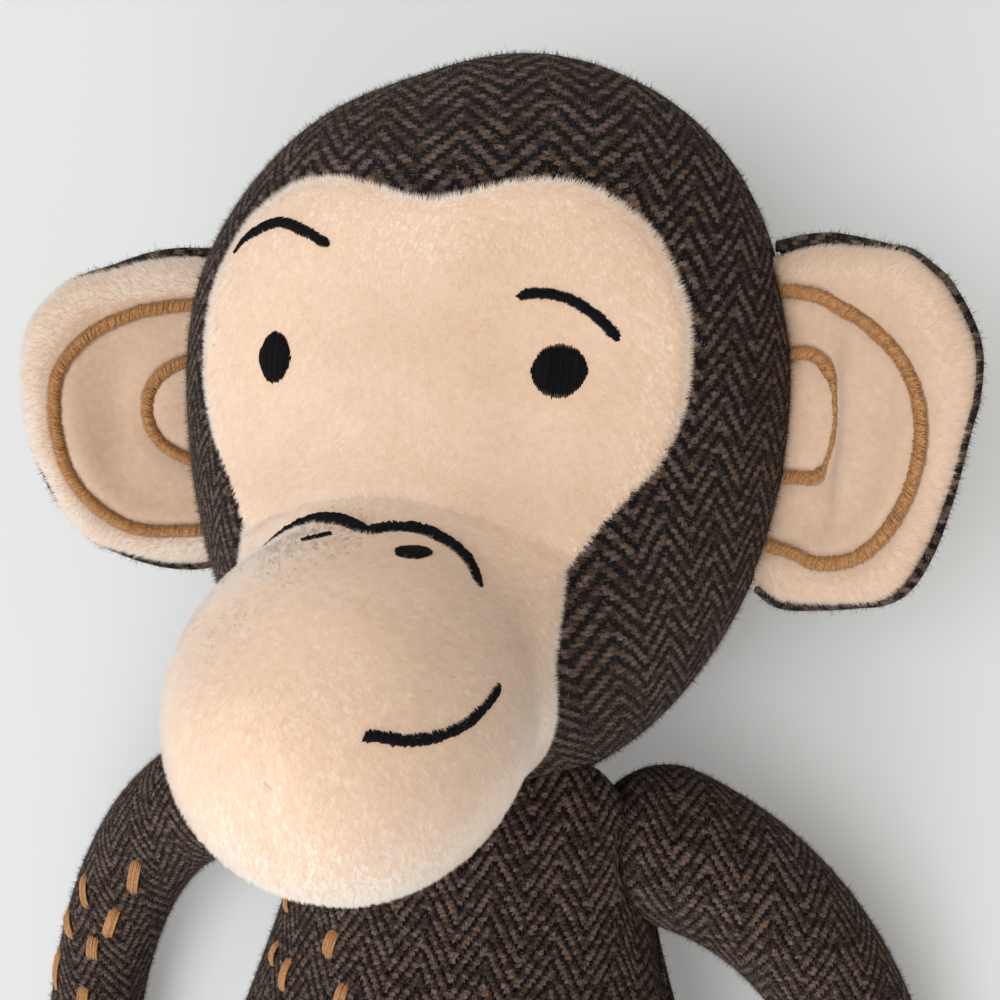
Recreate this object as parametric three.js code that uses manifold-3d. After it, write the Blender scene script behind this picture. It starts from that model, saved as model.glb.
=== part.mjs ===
// A stuffed monkey lying on its back: woven covers, short-pile face, ears, hands and feet, fibre filling.
// Lengths are millimetres. +X is the toy's left, +Y runs to the crown, +Z is up and the back lies on Z = 0.
import * as THREE from "three";
import { mergeVertices } from "three/addons/utils/BufferGeometryUtils.js";
import Module from "manifold-3d";

const wasm = await Module();
wasm.setup();

// Cloth and thread
const COVER = 3; // cloth with its backing
const SEAM = 0.4; // clearance between pieces that are sewn or packed together
const REST_FLAT = 1; // how far the filling flattens under the toy's own weight
const LINE_WIDTH = 3.4; // embroidered brows, nose and smile
const OVAL_HEIGHT = 2.2; // embroidered eyes and nostrils stand this high
const SATIN_WIDTH = 4.4; // wide satin stitch on the ears
const SATIN_HEIGHT = 2;

// Head, measured from the line through the ears
const HEAD_WIDTH = 168;
const CROWN_HEIGHT = 86;
const JAW_DROP = 111;
const FACE_DEPTH = 50;
const NAPE_DEPTH = 63;
const HEAD_NOD = 9; // degrees forward at rest
const NECK_DROP = 110; // neck's centre below the ears
const NECK_WIDTH = 54;
const CHEEK_RISE = 44; // how far the face swells forward under the muzzle
const CHEEK_DROP = 58; // middle of the swelling below the ears
const CHEEK_SPREAD = 60; // sideways
const CHEEK_HEIGHT = 40;

// Face panel
const FACE_WIDTH = 124;
const FACE_WIDEST_RISE = 10;
const FACE_LOBE_RISE = 52;
const FACE_LOBE_SPACING = 56;
const FACE_DIP_RISE = 47;
const FACE_WAIST_WIDTH = 78;
const FACE_WAIST_DROP = 38;

// Muzzle
const MUZZLE_WIDTH = 84;
const MUZZLE_HEIGHT = 82;
const MUZZLE_BASE_WIDTH = 75;
const MUZZLE_BASE_HEIGHT = 78;
const MUZZLE_BASE_DROP = 60; // middle of its base below the ears
const MUZZLE_DROP = 66; // middle of its round end below the ears
const MUZZLE_SHOULDER = 76; // where its round end begins, in front of the ears
const MUZZLE_REACH = 130; // its tip, in front of the ears

// Embroidered features
const EYE_WIDTH = 12;
const EYE_HEIGHT = 14;
const EYE_SPACING = 72;
const EYE_RISE = 9;
const CALM_BROW = { inner: [25, 25], bend: [38, 31], outer: [47, 16] }; // toy's left
const RAISED_BROW = { inner: [24, 36], bend: [44, 49], outer: [56, 31] }; // toy's right
const NOSTRIL_LENGTH = 6;
const NOSTRIL_WIDTH = 3.6;

// Places on the muzzle, in degrees around its axis or from its tip
const MUZZLE_TOP = 90; // round from the toy's left
const NOSTRIL_TURN = 17;
const NOSTRIL_FROM_TIP = 76;
const NOSE_TURN = 37;
const NOSE_FROM_TIP = 84;
const NOSE_HUMP = 5;
const NOSE_END_FALL = 8;
const SMILE_START = 27;
const SMILE_END = 67;
const SMILE_LOW = 11;
const SMILE_CURL = 9;

// Ears
const EAR_REACH = 48; // beyond the side of the head
const EAR_RISE = 39;
const EAR_FALL = 54;
const EAR_ROOT_RISE = 36;
const EAR_ROOT_FALL = 51;
const EAR_LAYER = 4.2;
const EAR_TOP_SHARE = 0.5; // where its top lies, from root to tip
const EAR_BOTTOM_SHARE = 0.5;
const EAR_WIDEST_SHARE = 0.38; // where it reaches furthest, from top to bottom
const EAR_EDGE_SHARE = 0.4; // of a layer's thickness, rounded off at its edge
const RIGHT_EAR_DROP = 6; // sewn a little lower than the left
const EAR_SWEEP = 25; // degrees forward at rest
const EAR_HINGE_OFFSET = 9; // fold line outside the sewn root
const EAR_ROOT_GAP = 1.1; // slack at the sewn root
const OUTER_LOOP = { reach: 26, rise: 26, fall: 43 }; // from the fold line
const INNER_LOOP = { reach: 6, rise: 10, fall: 21 };
const LOOP_ROOT_INSET = 8; // loops stop short of the root

// Torso, measured from the neck's centre
const TORSO_LENGTH = 190;
const TORSO_DEPTH = 95;
const BELLY_WIDTH = 152;
const BELLY_DROP = 122;
const CHEST_WIDTH = 108;
const CHEST_DROP = 26;
const COLLAR_DROP = 1; // top of the collar below the neck's centre
const TORSO_HEIGHT = TORSO_DEPTH / 2 - REST_FLAT; // its axis above the floor

// Arms and hands
const SHOULDER_SPACING = 112;
const SHOULDER_DROP = 12;
const SHOULDER_HEIGHT = 42;
const ARM_ROOT_WIDTH = 43;
const SHOULDER_EASE = 2; // slack under the arm
const ROOM_LEAD = 6; // a limb's room begins this far behind its ball's centre
const WRIST_WIDTH = 32;
const ARM_REACH = 68; // sideways, from shoulder to wrist
const ARM_LENGTH = 128; // downwards, from shoulder to wrist
const SLEEVE_RUN = 48; // sideways, before the sleeve turns down
const SLEEVE_SAG = 12;
const SLEEVE_FALL = 5; // towards the floor
const ELBOW_REACH = 75;
const ELBOW_DROP = 64;
const HAND_LENGTH = 62;
const HAND_WIDTH = 40;
const HAND_THICKNESS = 33;
const HAND_TUCK = 15; // how far its plush reaches back over the arm

// Legs and feet
const HIP_SPACING = 84;
const HIP_DROP = 197;
const HIP_LIFT = 2; // roots hang a little clear of the floor
const LEG_ROOT_WIDTH = 44;
const ANKLE_WIDTH = 40;
const LEG_SPLAY = 11;
const LEG_LENGTH = 112;
const FOOT_LENGTH = 70;
const FOOT_WIDTH = 50;
const FOOT_THICKNESS = 48;
const FOOT_TUCK = 14;
const FOOT_TILT = 14; // degrees, toes away from the body
const KNEE_SHARE = 0.4; // where the leg bends towards the floor, from hip to ankle
const ANKLE_SHARE = 0.8; // where it bends towards the foot
const HEEL_SHARE = 0.6; // how far it rises into the foot

// Facets
const ROUND = 26; // around the head and torso
const MUZZLE_ROUND = 20;
const INNER_ROUND = 14; // inside the head, muzzle and torso
const LIMB_ROUND = 12;
const INNER_LIMB_ROUND = 8;
const LIMB_STEPS = 6;
const ROOT_STEPS = 3;
const NECK_ROUND = 20;
const ROOM_ROUND = 28; // the rooms in which the neck, shoulders and hips turn
const EAR_STEPS = 5;
const LINE_ROUND = 3;
const LINE_STEPS = 10;
const RINGS = 0.64; // rings from pole to pole for each facet around
const MERGE = 1e-3; // corners closer than this are one

// Handles of the drawn curves, as shares of the way to the next point
const FULL = 0.6;
const EVEN = 0.5;
const SLACK = 0.4;

// Materials
const tweed = new THREE.MeshStandardMaterial({ color: 0x3d302b, roughness: 0.95, metalness: 0 });
const plush = new THREE.MeshStandardMaterial({ color: 0xe8c4a6, roughness: 0.9, metalness: 0 });
const satin = new THREE.MeshStandardMaterial({ color: 0xbe7837, roughness: 0.55, metalness: 0 });
const blackThread = new THREE.MeshStandardMaterial({ color: 0x17161c, roughness: 0.6, metalness: 0 });
const fibre = new THREE.MeshStandardMaterial({ color: 0xf2f0ea, roughness: 1, metalness: 0 });

const UP = new THREE.Vector3(0, 0, 1);
const ALONG_Y = new THREE.Vector3(0, 1, 0);
const { clamp, degToRad, lerp, smoothstep } = THREE.MathUtils;

// A closed geometry as a solid, with the slivers at its poles left out.
function solid(geometry) {
  const bare = geometry.clone();
  bare.deleteAttribute("normal");
  bare.deleteAttribute("uv");
  const merged = mergeVertices(bare, MERGE);
  const corners = merged.index.array;
  const triVerts = [];
  for (let i = 0; i < corners.length; i += 3) {
    const [a, b, c] = corners.slice(i, i + 3);
    if (a !== b && b !== c && c !== a) triVerts.push(a, b, c);
  }
  const vertProperties = merged.attributes.position.array;
  return new wasm.Manifold(
    new wasm.Mesh({ numProp: 3, vertProperties, triVerts: new Uint32Array(triVerts) }),
  );
}

// A solid as a named mesh in a group.
function piece(group, name, body, material) {
  const { vertProperties, triVerts } = body.getMesh();
  const geometry = new THREE.BufferGeometry();
  geometry.setAttribute("position", new THREE.BufferAttribute(vertProperties, 3));
  geometry.setIndex(new THREE.BufferAttribute(triVerts, 1));
  geometry.computeVertexNormals();
  const mesh = new THREE.Mesh(geometry, material);
  mesh.name = name;
  group.add(mesh);
}

function ball(centre, radius, around) {
  const rings = Math.round(around * RINGS);
  return solid(new THREE.SphereGeometry(radius, around, rings).translate(...centre));
}

// The room in which a ball turns: its flat facets stay clear of the ball at every angle.
function ballRoom(centre, radius) {
  const facet = Math.cos(Math.PI / ROOM_ROUND);
  return ball(centre, (radius + SEAM) / facet ** 2, ROOM_ROUND);
}

// The room that a limb's first stretch sweeps as it swings: a round bar from just behind the ball's centre.
function limbRoom(centre, radius, along) {
  const half = (radius + SEAM) / Math.cos(Math.PI / ROOM_ROUND);
  const length = along.length() + ROOM_LEAD;
  const bar = new THREE.CylinderGeometry(half, half, length, ROOM_ROUND);
  bar.translate(0, length / 2 - ROOM_LEAD, 0);
  const turn = new THREE.Quaternion().setFromUnitVectors(ALONG_Y, along.clone().normalize());
  return solid(bar.applyQuaternion(turn).translate(...centre));
}

// Even steps from 0 to 1.
function shares(count) {
  return Array.from({ length: count + 1 }, (_, i) => i / count);
}

// Each vertex of a geometry moved by a function of its place.
function reshape(geometry, move) {
  const at = geometry.attributes.position;
  const point = new THREE.Vector3();
  for (let i = 0; i < at.count; i++) at.setXYZ(i, ...move(point.fromBufferAttribute(at, i)));
  return geometry;
}

// How far the cheeks swell forward of the egg, for each millimetre of the egg's own depth.
function cheekShare(x, y) {
  const bell = Math.exp(-((x / CHEEK_SPREAD) ** 2) - ((y + CHEEK_DROP) / CHEEK_HEIGHT) ** 2);
  return 1 + (CHEEK_RISE / FACE_DEPTH) * bell;
}

// Head: an egg whose crown, jaw, face and nape differ, with swollen cheeks, shrunk by an inset.
function headEgg(inset, around) {
  const egg = new THREE.SphereGeometry(1, around, Math.round(around * RINGS));
  return solid(
    reshape(egg, (unit) => {
      const x = unit.x * (HEAD_WIDTH / 2 - inset);
      const y = unit.y * ((unit.y > 0 ? CROWN_HEIGHT : JAW_DROP) - inset);
      const z = unit.z * ((unit.z > 0 ? FACE_DEPTH : NAPE_DEPTH) - inset);
      return [x, y, z > 0 ? z * cheekShare(x, y) : z];
    }),
  );
}

// A point above the front of the head, and the way out of the cloth there.
function onHead(x, y, lift) {
  const front = (u, v) => {
    const b = v > 0 ? CROWN_HEIGHT : JAW_DROP;
    return FACE_DEPTH * Math.sqrt(1 - (u / (HEAD_WIDTH / 2)) ** 2 - (v / b) ** 2) * cheekShare(u, v);
  };
  const step = 0.5;
  const slopeX = (front(x + step, y) - front(x - step, y)) / (2 * step);
  const slopeY = (front(x, y + step) - front(x, y - step)) / (2 * step);
  const out = new THREE.Vector3(-slopeX, -slopeY, 1).normalize();
  return { point: new THREE.Vector3(x, y, front(x, y)).addScaledVector(out, lift), out };
}

// Muzzle: a short flared tube with a round end, turned about the line out of the face.
function muzzleBody(inset, around) {
  const half = MUZZLE_WIDTH / 2 - inset;
  const outline = new THREE.Path();
  outline.moveTo(0, 0);
  outline.lineTo(MUZZLE_BASE_WIDTH / 2 - inset, 0);
  outline.lineTo(half, MUZZLE_SHOULDER);
  const profile = outline.getPoints();
  const steps = Math.round(around / 3);
  for (let i = 1; i <= steps; i++) {
    const turn = (i / steps) * (Math.PI / 2);
    const rise = (MUZZLE_REACH - MUZZLE_SHOULDER - inset) * Math.sin(turn);
    profile.push(new THREE.Vector2(half * Math.cos(turn), MUZZLE_SHOULDER + rise));
  }
  const turned = new THREE.LatheGeometry(profile, around).rotateX(Math.PI / 2);
  const endShare = (MUZZLE_HEIGHT / 2 - inset) / half;
  const baseShare = (MUZZLE_BASE_HEIGHT / 2 - inset) / (MUZZLE_BASE_WIDTH / 2 - inset);
  return solid(
    reshape(turned, ({ x, y, z }) => {
      const along = Math.min(z / MUZZLE_SHOULDER, 1);
      return [x, y * lerp(baseShare, endShare, along) - lerp(MUZZLE_BASE_DROP, MUZZLE_DROP, along), z];
    }),
  );
}

// A point above the muzzle's round end: degrees around it from the toy's left, and degrees from its tip.
function onMuzzle(around, fromTip, lift) {
  const [a, b, c] = [MUZZLE_WIDTH / 2, MUZZLE_HEIGHT / 2, MUZZLE_REACH - MUZZLE_SHOULDER];
  const away = Math.sin(degToRad(fromTip));
  const unit = new THREE.Vector3(
    away * Math.cos(degToRad(around)),
    away * Math.sin(degToRad(around)),
    Math.cos(degToRad(fromTip)),
  );
  const out = new THREE.Vector3(unit.x / a, unit.y / b, unit.z / c).normalize();
  const point = new THREE.Vector3(unit.x * a, unit.y * b - MUZZLE_DROP, unit.z * c + MUZZLE_SHOULDER);
  return { point: point.addScaledVector(out, lift), out };
}

// Face panel's outline: two lobes over the brows, drawn in to the muzzle.
function facePrism(inset) {
  const widest = FACE_WIDTH / 2 - inset;
  const lobe = FACE_LOBE_RISE - inset;
  const dip = FACE_DIP_RISE - inset;
  const peak = FACE_LOBE_SPACING / 2;
  const waist = FACE_WAIST_WIDTH / 2 - inset;
  const half = new THREE.Path();
  const temple = lerp(FACE_WIDEST_RISE, lobe, EVEN);
  const cheek = lerp(FACE_WIDEST_RISE, -FACE_WAIST_DROP, FULL);
  half.moveTo(0, dip);
  half.bezierCurveTo(peak * SLACK, dip, peak * EVEN, lobe, peak, lobe);
  half.bezierCurveTo(lerp(peak, widest, FULL), lobe, widest, temple, widest, FACE_WIDEST_RISE);
  half.bezierCurveTo(widest, cheek, waist, -FACE_WAIST_DROP * EVEN, waist, -FACE_WAIST_DROP);
  half.lineTo(0, -MUZZLE_DROP);
  const left = half.getPoints(LIMB_STEPS);
  const inner = left.slice(1, -1).reverse();
  const right = inner.map(({ x, y }) => new THREE.Vector2(-x, y));
  const shape = new THREE.Shape([...left, ...right]);
  return solid(new THREE.ExtrudeGeometry(shape, { depth: 2 * FACE_DEPTH, bevelEnabled: false }));
}

// An embroidered line: a round cord of thread through points.
function threadLine(points) {
  const section = new THREE.Shape().absarc(0, 0, LINE_WIDTH / 2, 0, 2 * Math.PI);
  const extrudePath = new THREE.CatmullRomCurve3(points);
  return solid(
    new THREE.ExtrudeGeometry(section, { steps: LINE_STEPS, curveSegments: LINE_ROUND, extrudePath }),
  );
}

// An embroidered oval, lying on the cloth at a point.
function threadOval(width, height, { point, out }) {
  const oval = new THREE.SphereGeometry(1, LIMB_ROUND, LIMB_STEPS);
  oval.scale(width / 2, height / 2, OVAL_HEIGHT / 2);
  const turn = new THREE.Quaternion().setFromUnitVectors(UP, out);
  return solid(oval.applyQuaternion(turn).translate(...point));
}

// How far out from the fold line an ear's sewn root lies, at a height.
function earRoot(drop, y) {
  const rise = y - drop;
  const side = Math.sqrt(1 - (rise / (rise > 0 ? CROWN_HEIGHT : JAW_DROP)) ** 2) * (HEAD_WIDTH / 2);
  return side - HEAD_WIDTH / 2 - EAR_HINGE_OFFSET + EAR_ROOT_GAP;
}

// Ear: a broad flap from its sewn root. X runs out from the fold line.
function earEdge(drop) {
  const out = EAR_REACH - EAR_HINGE_OFFSET;
  const [top, bottom] = [EAR_RISE, -EAR_FALL];
  const [rootRise, rootFall] = [EAR_ROOT_RISE, EAR_ROOT_FALL];
  const topAt = lerp(-EAR_HINGE_OFFSET, out, EAR_TOP_SHARE);
  const bottomAt = lerp(-EAR_HINGE_OFFSET, out, EAR_BOTTOM_SHARE);
  const widest = lerp(top, bottom, EAR_WIDEST_SHARE);
  const high = earRoot(drop, rootRise);
  const low = earRoot(drop, -rootFall);
  const edge = new THREE.Path();
  edge.moveTo(high, rootRise);
  edge.bezierCurveTo(lerp(high, topAt, SLACK), lerp(rootRise, top, FULL), topAt * FULL, top, topAt, top);
  edge.bezierCurveTo(lerp(topAt, out, FULL), top, out, lerp(widest, top, EVEN), out, widest);
  edge.bezierCurveTo(out, lerp(widest, bottom, EVEN), lerp(bottomAt, out, FULL), bottom, bottomAt, bottom);
  edge.bezierCurveTo(lerp(bottomAt, low, EVEN), bottom, low, lerp(-rootFall, bottom, EVEN), low, -rootFall);
  return edge.getPoints(EAR_STEPS);
}

// One cloth layer of an ear, with a soft edge all round, from its lower face upwards.
function earLayer(side, drop, low) {
  const edge = earEdge(drop);
  for (let i = 1; i < EAR_STEPS; i++) {
    const y = lerp(-EAR_ROOT_FALL, EAR_ROOT_RISE, i / EAR_STEPS);
    edge.push(new THREE.Vector2(earRoot(drop, y), y));
  }
  const shape = new THREE.Shape(edge.map(({ x, y }) => new THREE.Vector2(side * x, y)));
  const bevel = EAR_LAYER * EAR_EDGE_SHARE;
  const layer = new THREE.ExtrudeGeometry(shape, {
    depth: EAR_LAYER - 2 * bevel,
    bevelThickness: bevel,
    bevelSize: bevel,
    bevelOffset: -bevel,
    bevelSegments: 2,
  });
  return solid(layer.translate(0, 0, low + bevel));
}

// A raised loop of satin stitch on an ear's front.
function earLoop(side, drop, { reach, rise, fall }) {
  const height = SEAM / 2 + EAR_LAYER + SEAM + SATIN_HEIGHT / 2;
  const [high, low] = [earRoot(drop, rise) + LOOP_ROOT_INSET, earRoot(drop, -fall) + LOOP_ROOT_INSET];
  const route = shares(LINE_STEPS).map((share) => {
    const turn = (EVEN - share) * Math.PI;
    const root = lerp(high, low, share);
    const y = lerp(-fall, rise, EVEN) + ((rise + fall) / 2) * Math.sin(turn);
    return new THREE.Vector3(side * lerp(root, reach, Math.cos(turn)), y, height);
  });
  const extrudePath = new THREE.CatmullRomCurve3(route);
  const section = new THREE.Shape().absellipse(0, 0, SATIN_HEIGHT / 2, SATIN_WIDTH / 2, 0, 2 * Math.PI);
  return solid(
    new THREE.ExtrudeGeometry(section, { steps: 2 * LINE_STEPS, curveSegments: LINE_ROUND, extrudePath }),
  );
}

// Torso: a pear, wider than deep, with a round collar. Its axis runs through the neck.
function torsoBody(inset, around) {
  const [belly, chest] = [BELLY_WIDTH / 2 - inset, CHEST_WIDTH / 2 - inset];
  const seat = inset - TORSO_LENGTH;
  const collar = -COLLAR_DROP - inset;
  const outline = new THREE.Path();
  const flank = lerp(-BELLY_DROP, -CHEST_DROP, SLACK);
  const armpit = lerp(-BELLY_DROP, -CHEST_DROP, FULL);
  outline.moveTo(0, seat);
  outline.bezierCurveTo(belly * FULL, seat, belly, lerp(seat, -BELLY_DROP, SLACK), belly, -BELLY_DROP);
  outline.bezierCurveTo(belly, flank, lerp(belly, chest, FULL), armpit, chest, -CHEST_DROP);
  outline.bezierCurveTo(chest, lerp(-CHEST_DROP, collar, EVEN), chest * FULL, collar, 0, collar);
  const turned = new THREE.LatheGeometry(outline.getPoints(Math.round(around / 5)), around);
  const flatness = (TORSO_DEPTH / 2 - inset) / belly;
  return solid(
    reshape(turned, ({ x, y, z }) => {
      const depth = lerp(1, flatness, smoothstep(-y, 0, CHEST_DROP));
      return [x, y, z * depth + TORSO_HEIGHT];
    }),
  );
}

// A stuffed limb: a round root about the origin, then round sections along a curve, shrunk by an inset.
function limbBody({ curve, rootWidth, endWidth }, inset) {
  const around = inset > 0 ? INNER_LIMB_ROUND : LIMB_ROUND;
  const length = curve.getLength();
  const root = rootWidth / 2 - inset;
  const profile = [];
  for (let i = 0; i < ROOT_STEPS; i++) {
    const turn = (i / ROOT_STEPS) * (Math.PI / 2);
    profile.push(new THREE.Vector2(root * Math.sin(turn), -root * Math.cos(turn)));
  }
  for (let i = 0; i <= LIMB_STEPS; i++) {
    const share = i / LIMB_STEPS;
    const half = lerp(endWidth, rootWidth, (1 - share) ** 2) / 2 - inset;
    profile.push(new THREE.Vector2(half, share * length));
  }
  profile.push(new THREE.Vector2(0, length));
  return solid(
    reshape(new THREE.LatheGeometry(profile, around), ({ x, y, z }) => {
      const share = clamp(y / length, 0, 1);
      const along = curve.getTangentAt(share);
      const side = new THREE.Vector3().crossVectors(along, UP).normalize();
      const top = new THREE.Vector3().crossVectors(side, along);
      const centre = curve.getPointAt(share).addScaledVector(along, Math.min(y, 0));
      return centre.addScaledVector(side, x).addScaledVector(top, z);
    }),
  );
}

// A hand or foot: an egg of plush at a limb's end, shrunk by an inset.
function endEgg({ width, thickness, length, tilt, centre }, inset) {
  const around = inset > 0 ? INNER_LIMB_ROUND : LIMB_ROUND;
  const egg = new THREE.SphereGeometry(1, around, Math.round(around * RINGS));
  egg.scale(width / 2 - inset, thickness / 2 - inset, length / 2 - inset);
  return solid(egg.rotateX(degToRad(tilt)).translate(...centre));
}

// A limb's cover, its plush end and the filling that runs through both.
function addLimb(pivot, names, limb, end) {
  const floor = [[0, 0, 1], -pivot.position.z];
  const filled = COVER + SEAM;
  const hollow = limbBody(limb, COVER);
  const cover = limbBody(limb, 0).subtract(hollow).subtract(endEgg(end, -SEAM));
  const paw = endEgg(end, 0).subtract(endEgg(end, COVER)).subtract(hollow);
  piece(pivot, names.cover, cover.trimByPlane(...floor), tweed);
  piece(pivot, names.end, paw.trimByPlane(...floor), plush);
  piece(pivot, names.filling, limbBody(limb, filled).add(endEgg(end, filled)), fibre);
}

const toy = new THREE.Group();

// Resting heights: the nape and the torso's back lie on the floor.
const nod = degToRad(HEAD_NOD);
const napeReach = Math.hypot(NAPE_DEPTH * Math.cos(nod), JAW_DROP * Math.sin(nod));
const HEAD_HEIGHT = napeReach - REST_FLAT;
const NECK_HEIGHT = HEAD_HEIGHT - NECK_DROP * Math.sin(nod);

// Neck: a firm roll of filling between the torso's collar and the head.
const neck = new THREE.Group();
neck.position.set(0, 0, NECK_HEIGHT);
toy.add(neck);
piece(neck, "neck_roll", ball([0, 0, 0], NECK_WIDTH / 2, NECK_ROUND), tweed);

// Head, nodded about the neck
const headPivot = new THREE.Group();
headPivot.rotation.x = nod;
neck.add(headPivot);
const head = new THREE.Group();
head.position.y = NECK_DROP;
headPivot.add(head);

const headFloor = [[0, Math.sin(nod), Math.cos(nod)], -HEAD_HEIGHT];
const neckSocket = ballRoom([0, -NECK_DROP, 0], NECK_WIDTH / 2);
const headHollow = headEgg(COVER, INNER_ROUND);
const headShell = headEgg(0, ROUND).subtract(headHollow).subtract(neckSocket);
const muzzleRoom = muzzleBody(-SEAM, MUZZLE_ROUND);
const tweedFront = headShell.trimByPlane([0, 0, 1], SEAM / 2).subtract(muzzleRoom);
const backPanel = headShell.trimByPlane([0, 0, -1], SEAM / 2).subtract(muzzleRoom);
piece(head, "head_front_panel", tweedFront.subtract(facePrism(0)), tweed);
piece(head, "head_back_panel", backPanel.trimByPlane(...headFloor), tweed);
piece(head, "face_panel", tweedFront.intersect(facePrism(SEAM)), plush);

const muzzleShell = muzzleBody(0, MUZZLE_ROUND).subtract(muzzleBody(COVER, INNER_ROUND));
piece(head, "muzzle_panel", muzzleShell.subtract(headHollow).subtract(neckSocket), plush);
const packed = COVER + SEAM;
const headFilling = headEgg(packed, INNER_ROUND).add(muzzleBody(packed, INNER_ROUND));
piece(head, "head_stuffing", headFilling.subtract(neckSocket), fibre);

// Face embroidery
const lineLift = SEAM + LINE_WIDTH / 2;
const ovalLift = SEAM + OVAL_HEIGHT / 2;
for (const [name, side] of [["left", 1], ["right", -1]]) {
  const eye = onHead((side * EYE_SPACING) / 2, EYE_RISE, ovalLift);
  piece(head, `${name}_eye`, threadOval(EYE_WIDTH, EYE_HEIGHT, eye), blackThread);

  const { inner, bend, outer } = side > 0 ? CALM_BROW : RAISED_BROW;
  const sweep = [inner, bend, outer].map((place) => new THREE.Vector2(...place));
  const brow = new THREE.QuadraticBezierCurve(...sweep).getPoints(LIMB_STEPS);
  const browLine = brow.map(({ x, y }) => onHead(side * x, y, lineLift).point);
  piece(head, `${name}_brow`, threadLine(browLine), blackThread);

  const nostril = onMuzzle(MUZZLE_TOP - side * NOSTRIL_TURN, NOSTRIL_FROM_TIP, ovalLift);
  piece(head, `${name}_nostril`, threadOval(NOSTRIL_LENGTH, NOSTRIL_WIDTH, nostril), blackThread);
}
const noseLine = shares(2 * LIMB_STEPS).map((share) => {
  const across = 2 * share - 1;
  const hump = Math.sin(Math.PI * Math.abs(across)) * NOSE_HUMP;
  const fromTip = NOSE_FROM_TIP + hump - NOSE_END_FALL * across ** 4;
  return onMuzzle(MUZZLE_TOP - across * NOSE_TURN, fromTip, lineLift).point;
});
piece(head, "nose_line", threadLine(noseLine), blackThread);
const smile = shares(LIMB_STEPS).map((share) => {
  const around = SMILE_LOW + SMILE_CURL * (2 * share - 1) ** 2;
  return onMuzzle(around, lerp(SMILE_START, SMILE_END, share), lineLift).point;
});
piece(head, "smile", threadLine(smile), blackThread);

// Ears, each on its fold line beside the head
for (const [name, side] of [["left", 1], ["right", -1]]) {
  const ear = new THREE.Group();
  ear.name = `${name}_ear_fold`;
  const sweep = degToRad(EAR_SWEEP);
  const foldAt = HEAD_WIDTH / 2 + EAR_HINGE_OFFSET * Math.cos(sweep);
  const drop = side > 0 ? 0 : RIGHT_EAR_DROP;
  ear.position.set(side * foldAt, -drop, EAR_HINGE_OFFSET * Math.sin(sweep));
  ear.rotation.y = -side * sweep;
  head.add(ear);
  piece(ear, `${name}_ear_front`, earLayer(side, drop, SEAM / 2), plush);
  piece(ear, `${name}_ear_back`, earLayer(side, drop, -SEAM / 2 - EAR_LAYER), tweed);
  piece(ear, `${name}_ear_outer_loop`, earLoop(side, drop, OUTER_LOOP), satin);
  piece(ear, `${name}_ear_inner_loop`, earLoop(side, drop, INNER_LOOP), satin);
}

// Arms and hands, each hung on its shoulder
let sockets = ballRoom([0, 0, NECK_HEIGHT], NECK_WIDTH / 2);
for (const [name, side] of [["left", 1], ["right", -1]]) {
  const shoulder = new THREE.Group();
  shoulder.name = `${name}_shoulder`;
  shoulder.position.set((side * SHOULDER_SPACING) / 2, -SHOULDER_DROP, SHOULDER_HEIGHT);
  toy.add(shoulder);
  const fall = SHOULDER_HEIGHT - WRIST_WIDTH / 2 + REST_FLAT;
  const handFall = SHOULDER_HEIGHT - HAND_THICKNESS / 2 + REST_FLAT;
  const handAt = ARM_LENGTH + HAND_LENGTH / 2 - HAND_TUCK;
  const curve = new THREE.CubicBezierCurve3(
    new THREE.Vector3(),
    new THREE.Vector3(side * SLEEVE_RUN, -SLEEVE_SAG, -SLEEVE_FALL),
    new THREE.Vector3(side * ELBOW_REACH, -ELBOW_DROP, -fall),
    new THREE.Vector3(side * ARM_REACH, -handAt, -fall),
  );
  const hand = {
    width: HAND_WIDTH,
    thickness: HAND_LENGTH,
    length: HAND_THICKNESS,
    tilt: 0,
    centre: [side * ARM_REACH, -handAt, -handFall],
  };
  const names = { cover: `${name}_arm_cover`, end: `${name}_hand`, filling: `${name}_arm_stuffing` };
  addLimb(shoulder, names, { curve, rootWidth: ARM_ROOT_WIDTH, endWidth: WRIST_WIDTH }, hand);
  const sleeveRoom = limbRoom(
    shoulder.position,
    ARM_ROOT_WIDTH / 2 + SHOULDER_EASE,
    new THREE.Vector3(side * ARM_ROOT_WIDTH, 0, 0),
  );
  sockets = sockets.add(ballRoom(shoulder.position, ARM_ROOT_WIDTH / 2)).add(sleeveRoom);
}

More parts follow.
